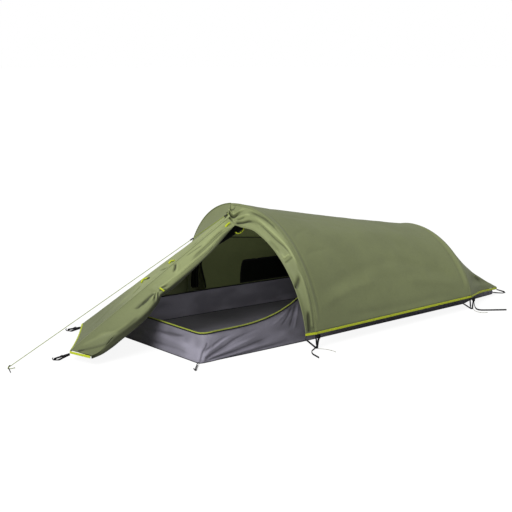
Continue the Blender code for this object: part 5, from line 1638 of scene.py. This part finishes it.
def add_inner_door():
    """The mesh door, gathered into a swag with deep pleats."""
    count, around = 120, 72
    line = rounded(INNER_DOOR_ROUTE, count)
    share = np.linspace(0, 1, count)[:, None]
    radius = INNER_DOOR_RADIUS * mix(0.60, 1.0, ease(share / 0.3)) * (1 + 0.20 * np.sin(8 * share))
    ahead = ahead_of(line)
    across = unit(np.cross(ahead, (1.0, 0, 0)))
    depth = unit(np.cross(across, ahead))
    ring = []
    for angle in 2 * HALF_TURN * np.arange(around) / around:
        fold = 1 + 0.22 * ease(share / 0.15) * np.sin(6 * angle + 3 * share)
        fold = fold + 0.07 * np.sin(15 * angle + 5 * share)
        ring.append(line + (depth * math.cos(angle) + across * math.sin(angle)) * radius * fold)
    panel = np.array(ring).transpose(1, 0, 2)
    obj = dress(grid("inner_door_mesh", panel, NET, wrap=True), "tent", "insect_mesh", "inner_door")
    declare(np.concatenate([panel, panel[:, :1]], axis=1))


def sill_line():
    """The tub's top edge under the zip: down the near side from the hoop, then across the head end."""
    ring = tub_ring(1.0)
    head_x = TUB_HEAD_X + TUB_HEAD_LEAN
    inside = (ring[:, 0] > head_x + 0.001) & (ring[:, 0] < SILL_END_X - 0.001)
    near = ring[(ring[:, 1] < NEAR_SIDE_Y) & inside]
    near = near[np.argsort(-near[:, 0])]
    head = ring[np.abs(ring[:, 0] - head_x) < 0.001]
    head = head[np.argsort(head[:, 1])]
    return along(np.vstack([near, head]), 560)


def add_zip():
    """Tape on the sill's edge, with a coil of teeth along its top."""
    line = sill_line() + UP * ZIP_LIFT
    hung_tape("zip_tape_band", line + UP * ZIP_WIDTH, ZIP_WIDTH, ZIP_THICKNESS, ZIP_TAPE, "door_zip")
    fine = along(line + UP * TEETH_HEIGHT, 1400)
    scale = 1.0 + 0.22 * np.sin(np.arange(len(fine)) * TOOTH_STEP)
    dress(tube("zip_teeth", fine, TEETH_RADIUS, COIL, sides=8, scale=scale), "tent", "bright_tape")


add_inner_door()
add_zip()


# Pegs and their loops

PEG_TIP = (0.30, 0.62, 0.85, 0.96, 1.0)
PEG_END = 0.80
HOOK_SETBACK = 0.002
LOOP_GAP = 0.0003
LOOP_RETURN = 0.014
GROUND_GAP = 0.0004
HEAD_HOLD = (0.0035, 0.0127)
TAIL_HOLD = (0.00255, 0.268, 0.0050)


def peg_path(name):
    """A peg's rod from its point to its hook, and round that."""
    base, shank = peg_base(name)
    tilt = np.cross(UP, shank) * math.cos(HOOK_TILT) + UP * math.sin(HOOK_TILT)
    centre = base - shank * HOOK_SETBACK + tilt * HOOK_RADIUS
    rod = base + shank * PEG_LENGTH * np.linspace(1.0, 0.0, 24)[:, None]
    hook = half_round(centre, -tilt, -shank, HOOK_RADIUS, 22)[1:]
    end = hook[-1] + shank * HOOK_RETURN * np.array([[0.5], [1.0]])
    return np.vstack([rod, hook, end])


for peg_name in PEGS:
    path = peg_path(peg_name)
    taper = np.ones(len(path))
    taper[: len(PEG_TIP)] = PEG_TIP
    taper[-1] = PEG_END
    rod = tube(f"{peg_name}_rod", path, PEG_RADIUS, METAL, sides=18, scale=taper)
    dress(rod, f"{peg_name}_body", "peg_metal", peg_name)


def loop_curve(node, points, profile, material, slot, count=90):
    """A loop of cord or tape along a route, kept above the ground."""
    path = rounded(points, count)
    obj = sweep(f"{node}_piece", path, *turned_frames(path), profile, material)
    for vertex in obj.data.vertices:
        vertex.co.z = max(vertex.co.z, GROUND_GAP)
    dress(obj, "tent", slot, node)


def crossing_loop(name, first, second):
    """A route from the first place over a peg, and back under it to the second."""
    base, shank = peg_base(name)
    centre = base + shank * LOOP_SETBACK
    pull = unit((first - centre) * LEVEL)
    around = half_round(centre, UP, -pull, LOOP_TURN, 9)
    low = around[-1] + pull * LOOP_RETURN + UP * 0.0006
    return [first, mix(first, around[0], 0.5), *around, low, mix(low, second, 0.5), second]


def collar_loop(name, hold):
    """A route from the tub's corner along one side of a peg, under it and back along the other side."""
    base, shank = peg_base(name)
    side = np.cross(UP, shank)
    centre = base + shank * LOOP_SETBACK
    around = half_round(centre, side, -UP, LOOP_TURN, 9)
    joined = side * (LOOP_RADIUS + LOOP_GAP)
    parting = mix(hold, centre, 0.22)
    return [hold + joined, parting + side * LOOP_TURN, *around, parting - side * LOOP_TURN, hold - joined]


def add_loops():
    flat, wide = (band_profile(*tape)[:, ::-1] for tape in (LOOP_TAPE, WIDE_LOOP_TAPE))
    below = -UP * (LOOP_RADIUS + LOOP_GAP)
    pair = -UP * (2 * LOOP_RADIUS + LOOP_GAP)
    for label, hem in (("front_far", FRONT_FAR), ("front_tip", FRONT_TIP)):
        first = hem + below + (-0.001, 0.001, 0)
        route = crossing_loop(f"{label}_peg", first, first + pair)
        loop_curve(f"{label}_loop", route, wide, WEBBING, "webbing")
    for name, sign in (("near", -1), ("far", 1)):
        shank = peg_base(f"head_{name}_peg")[1]
        corner = np.array((TUB_HEAD_X + HEAD_HOLD[0], sign * (TUB_WIDTHS[0][1] - HEAD_HOLD[1]), PEG_HEIGHT))
        back = 0.0006 if name == "near" else LOOP_RADIUS + LOOP_GAP
        route = collar_loop(f"head_{name}_peg", corner - shank * back)
        loop_curve(f"head_{name}_loop", route, flat, WEBBING, "webbing")
        hem = np.array((TAIL_X + 0.0005, sign * TAIL_HALF_WIDTH, HEM_HEIGHT_TAIL)) + below
        tub = np.array((TUB_TAIL_X + TAIL_HOLD[0], sign * TAIL_HOLD[1], TAIL_HOLD[2]))
        route = crossing_loop(f"tail_{name}_peg", hem, tub)
        loop_curve(f"tail_{name}_loop", route, flat, WEBBING, "webbing")


add_loops()


# Straps and buckles at the pole feet

STRAP_STEPS = 70
STRAP_TOP_SHIFT = 0.018
STRAP_HEM_GAP = 0.0006
STRAP_UNDER = (0.0040, 0.0096)
STRAP_RISE = (0.0160, 0.0030)
LIP_STRAP_X = 0.047
LIP_STRAP_WIDTH = 0.0060
LIP_STRAP_SHIFT = 0.006
LIP_STRAP_GAP = 0.0011
LIP_STRAP_OUT = 0.0030
LIP_STRAP_LOW = 0.0065
BUCKLE_DROP = 0.0120
BUCKLE_SIZE = (0.0200, 0.0202, 0.0074)
RAIL_WIDTH = 0.0028

# Bars across a buckle: place along it from -1 to 1, height over its middle, width and depth
BUCKLE_BARS = (
    (-0.86, 0.0022, 0.0028, 0.0026),
    (0.10, 0.0024, 0.0024, 0.0024),
    (0.45, -0.0024, 0.0026, 0.0022),
    (0.86, 0.0022, 0.0028, 0.0026),
)


def foot_strap(label, arch, hem, sign, tub_x):
    """A strap from the tub along the ground, under the pole's foot and up to the fly's hem."""
    low = STRAP_THICKNESS / 2 + LOOP_GAP
    top = arch.at(arch.angle_at(hem))
    top = np.array((top[0] + STRAP_TOP_SHIFT, top[1], hem - STRAP_HEM_GAP))
    foot = arch.smaller(POLE_INSET).at(0.0)
    start = np.array((tub_x, -float(tub_half_width(tub_x)) - STRAP_THICKNESS - LOOP_GAP, low))
    under = np.array((foot[0], foot[1], low))
    out = unit(under - start)
    turn = under + out * STRAP_RISE[0] + UP * STRAP_RISE[1]
    before, after = under - out * STRAP_UNDER[0], under + out * STRAP_UNDER[1]
    line = [start, mix(start, under, 0.5), before, after, turn]
    line += [mix(turn, top, 0.10), mix(turn, top, 0.22), top]
    first = unit(np.array((-out[1], out[0], 0)))
    last = np.array((1.0, 0, 0))
    sides = np.array([mix(first, last, share) for share in (0, 0, 0, 0, 0.4, 0.8, 1, 1)])
    travel = travel_of(line)
    side = unit(read_off(np.linspace(0, travel[-1], STRAP_STEPS), travel, sides))
    mirror = np.array((1, -sign, 1))
    path = rounded(line, STRAP_STEPS) * mirror
    obj = ribbon(f"{label}_strap_piece", path, side * mirror, STRAP_WIDTH, STRAP_THICKNESS, WEBBING)
    dress(obj, "tent", "webbing", f"{label}_strap")
    return line[-2] * mirror, top * mirror


def add_buckle(label, low, top):
    """A ladder-lock: a rounded frame with bars across it."""
    rise = unit(top - low)
    place = top - rise * BUCKLE_DROP
    across = unit(np.array((1.0, 0, 0)) - rise * rise[0])
    out = np.cross(rise, across)
    if out[1] * place[1] < 0:
        out = -out
    length, width, depth = BUCKLE_SIZE

    def bar(a, b, thick, deep):
        ends = [place + rise * u * length / 2 + across * s * width / 2 + out * d for u, s, d in (a, b)]
        path = np.array(ends)
        side = unit(np.cross(path[1] - path[0], out))
        half, tall = thick / 2, deep / 2
        c = min(half, tall) * 0.45
        corners = np.array([(-half + c, -tall), (half - c, -tall), (half, -tall + c), (half, tall - c)])
        return sweep(f"{label}_bar", path, side, out, np.vstack([corners, -corners]), PLASTIC)

    rail = 1 - RAIL_WIDTH / width
    parts = [bar((-1, s, 0), (1, s, 0), RAIL_WIDTH, depth) for s in (-rail, rail)]
    parts += [bar((u, -1, d), (u, 1, d), thick, deep) for u, d, thick, deep in BUCKLE_BARS]
    obj = join(f"{label}_buckle_piece", parts, PLASTIC)
    dress(obj, f"{label}_buckle_body", "moulded_plastic", f"{label}_buckle")


def add_lip_strap():
    top = np.array((LIP_FOOT[0] + LIP_STRAP_SHIFT, LIP_FOOT[1], LIP_BOTTOM - HEM_LIFT - LIP_STRAP_GAP))
    foot = np.array((LIP_STRAP_X, -float(tub_half_width(LIP_STRAP_X)) - LIP_STRAP_OUT, LIP_STRAP_LOW))
    path = along([top, foot], 24)
    obj = ribbon("lip_strap_piece", path, (1.0, 0, 0), LIP_STRAP_WIDTH, STRAP_THICKNESS, WEBBING)
    dress(obj, "tent", "webbing", "lip_strap")


for side_sign, side_name in ((-1, "near"), (1, "far")):
    for hoop_name, hoop_arch, hem_height, tub_end in (
        ("main", MAIN, HEM_HEIGHT_MAIN, 0.062),
        ("rear", REAR, HEM_HEIGHT_REAR, 1.368),
    ):
        strap_label = f"{hoop_name}_{side_name}"
        strap_ends = foot_strap(strap_label, hoop_arch, hem_height, side_sign, tub_end)
        add_buckle(strap_label, *strap_ends)
add_lip_strap()


# Sliders on the guyline and the zip

GUY_SLIDER_SIZE = (0.022, 0.0095, 0.0055)
GUY_SLIDER_WAIST = 0.12
GUY_SLIDER_ROUNDING = 0.25
GUY_SLIDER_PLACES = (("upper", 0.020), ("lower", 0.262))
ZIP_SLIDER_LENGTH = 0.012
ZIP_SLIDER_RADII = (0.0018, 0.0040)
ZIP_SLIDER_SHAPE = (0.45, 0.8, 1.0, 1.0, 0.95, 1.0, 1.0, 0.8, 0.5)


def slider(node, place, ahead, stations, profile, scale):
    """A small block swept along a line through its place."""
    side = unit(np.cross(UP, ahead))
    path = place + ahead * stations[:, None]
    obj = sweep(f"{node}_piece", path, side, np.cross(ahead, side), profile, PLASTIC, scale)
    dress(obj, f"{node}_body", "moulded_plastic", node)


def add_guy_sliders():
    """Rounded blocks, waisted at their middle."""
    length, width, height = GUY_SLIDER_SIZE
    turn = circle(1.0, 20)
    profile = np.sign(turn) * np.abs(turn) ** 0.5 * (width / 2, height / 2)
    stations = np.linspace(-0.5, 0.5, 13)
    waist = GUY_SLIDER_WAIST * np.cos(stations * 2 * HALF_TURN) * (np.abs(stations) < 0.4)
    scale = 1 - waist - GUY_SLIDER_ROUNDING * (np.abs(stations) > 0.49)
    run = unit(GUY_FOOT - GUY_TOP)
    for label, distance in GUY_SLIDER_PLACES:
        slider(f"guy_slider_{label}", GUY_TOP + run * distance, run, stations * length, profile, scale)


def add_zip_slider():
    low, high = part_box("zip_slider")
    line = sill_line()
    stations = np.linspace(-0.5, 0.5, len(ZIP_SLIDER_SHAPE)) * ZIP_SLIDER_LENGTH
    profile = circle(1.0, 16) * ZIP_SLIDER_RADII
    centre = np.array((low + high) / 2)
    slider("zip_slider", centre, unit(line[8] - line[0]), stations, profile, np.array(ZIP_SLIDER_SHAPE))


add_guy_sliders()
add_zip_slider()


# Bright loops and tabs, and the toggle of a door tie

FITTINGS = {
    "door_tie_upper": ((-0.5772, 0.1941, 0.3013), (-0.5550, 0.2026, 0.3165), (-0.5571, 0.1557, 0.3296)),
    "door_tab": ((-0.4741, 0.0810, 0.4093), (-0.4619, 0.0784, 0.4217), (-0.4629, 0.0451, 0.4307)),
    "door_tie_lower": ((-0.6282, -0.0639, 0.3216), (-0.6257, -0.0774, 0.3154), (-0.6176, -0.0850, 0.3079)),
    "fly_door_pull": ((-0.1456, -0.0251, 0.6092), (-0.1625, -0.0289, 0.6028), (-0.1845, -0.0353, 0.5908)),
    "foot_tab": ((1.4476, -0.3661, 0.1654), (1.4803, -0.3612, 0.1507), (1.5099, -0.3525, 0.1320)),
    "hang_loop": (
        (-0.0460, -0.0040, 0.6456),
        (-0.0360, -0.0100, 0.6000),
        (-0.0380, -0.0100, 0.5680),
        (-0.0510, -0.0100, 0.5490),
        (-0.0750, -0.0100, 0.5410),
        (-0.0970, -0.0100, 0.5500),
    ),
}
FITTING_RADIUS = 0.0046
TOGGLE_RADIUS = 0.0032
FITTING_LOOKS = {"foot_tab": (0.0040, FLY, "fly_cloth"), "hang_loop": (0.0034, TAPE, "bright_tape")}
TOGGLE_ENDS = ((-0.5600, 0.1610, 0.3270), (-0.5545, 0.1450, 0.3325))

for node_name, route in FITTINGS.items():
    radius, material, slot = FITTING_LOOKS.get(node_name, (FITTING_RADIUS, TAPE, "bright_tape"))
    loop_curve(node_name, route, circle(radius, 12), material, slot, count=50)
toggle = tube("door_tie_toggle", np.linspace(*TOGGLE_ENDS, 6), TOGGLE_RADIUS, PLASTIC, sides=12)
dress(toggle, "tent", "moulded_plastic")


# Floor, light and world

FLOOR_RADIUS = 40.0
FLOOR_GAP = 0.0004
FLOOR_GREY = (0.55, 0.55, 0.55, 1)
FLOOR_GLOW = 1.26
FLOOR_GLOW_SHARE = 0.72
WHITE = (1, 1, 1, 1)
WORLD_LIGHT = 0.28
KEY_LIGHT = 2.30
KEY_SPREAD = math.radians(35)
KEY_FROM = Vector((-0.85, -0.28, 0.95))
CLOTH_LIGHT = 0.92
SOFTBOX_PLACE = Vector((-2.4, -1.6, 2.6))
SOFTBOX_LIGHT = 12.0
SOFTBOX_SIZE = 1.1
SOFTBOX_TARGET = Vector((-0.1, 0, 0.3))
CLOTH_LIGHT_SIZE = (0.8, 0.20)
CLOTH_LIGHT_PLACE = (0.10, -0.31, 0.38)
CLOTH_LIGHT_FROM = Vector((0, -0.99, 0.10))


def blend_by_ray(tree, plain, seen, share, output):
    """One shader for light, and another one, in part, for what the camera sees."""
    ray = tree.nodes.new("ShaderNodeLightPath")
    part = tree.nodes.new("ShaderNodeMath")
    part.operation = "MULTIPLY"
    part.inputs[1].default_value = share
    blend = tree.nodes.new("ShaderNodeMixShader")
    tree.links.new(ray.outputs["Is Camera Ray"], part.inputs[0])
    for source, socket in zip((part, plain, seen), blend.inputs):
        tree.links.new(source.outputs[0], socket)
    tree.links.new(blend.outputs[0], tree.nodes[output].inputs["Surface"])


def glow_node(tree, kind, strength):
    made = tree.nodes.new(kind)
    made.inputs["Color"].default_value = WHITE
    made.inputs["Strength"].default_value = strength
    return made


def add_stage():
    bm = bmesh.new()
    bmesh.ops.create_circle(bm, cap_ends=True, segments=64, radius=FLOOR_RADIUS)
    mesh = bpy.data.meshes.new("floor")
    bm.to_mesh(mesh)
    bm.free()
    material = bpy.data.materials.new("floor")
    material.use_nodes = True
    tree = material.node_tree
    shader = tree.nodes["Principled BSDF"]
    shader.inputs["Base Color"].default_value = FLOOR_GREY
    shader.inputs["Roughness"].default_value = 0.9
    shader.inputs["Specular IOR Level"].default_value = 0.1
    glow = glow_node(tree, "ShaderNodeEmission", FLOOR_GLOW)
    blend_by_ray(tree, shader, glow, FLOOR_GLOW_SHARE, "Material Output")
    floor = linked("floor", mesh, material, smooth=False)
    floor.location.z = CAD_BOX[0][2] - FLOOR_GAP


def add_world():
    world = bpy.data.worlds.new("studio")
    bpy.context.scene.world = world
    world.use_nodes = True
    tree = world.node_tree
    tree.nodes.remove(tree.nodes["Background"])
    light = glow_node(tree, "ShaderNodeBackground", WORLD_LIGHT)
    seen = glow_node(tree, "ShaderNodeBackground", 1.0)
    blend_by_ray(tree, light, seen, 1.0, "World Output")


def add_lamp(name, kind, energy, faces, place=(0, 0, 0), **settings):
    """A lamp that shines against the direction it faces."""
    data = bpy.data.lights.new(name, kind)
    data.energy = energy
    for key, value in settings.items():
        setattr(data, key, value)
    lamp = placed(name, data)
    lamp.location = place
    lamp.rotation_euler = faces.to_track_quat("Z", "Y").to_euler()


add_stage()
add_world()
add_lamp("key", "SUN", KEY_LIGHT, KEY_FROM, angle=KEY_SPREAD)
add_lamp("softbox", "AREA", SOFTBOX_LIGHT, SOFTBOX_PLACE - SOFTBOX_TARGET, SOFTBOX_PLACE, size=SOFTBOX_SIZE)
across, tall = CLOTH_LIGHT_SIZE
sheet_light = {"shape": "RECTANGLE", "size": across, "size_y": tall}
add_lamp("through_cloth", "AREA", CLOTH_LIGHT, CLOTH_LIGHT_FROM, CLOTH_LIGHT_PLACE, **sheet_light)
bpy.context.scene.view_settings.view_transform = "Standard"
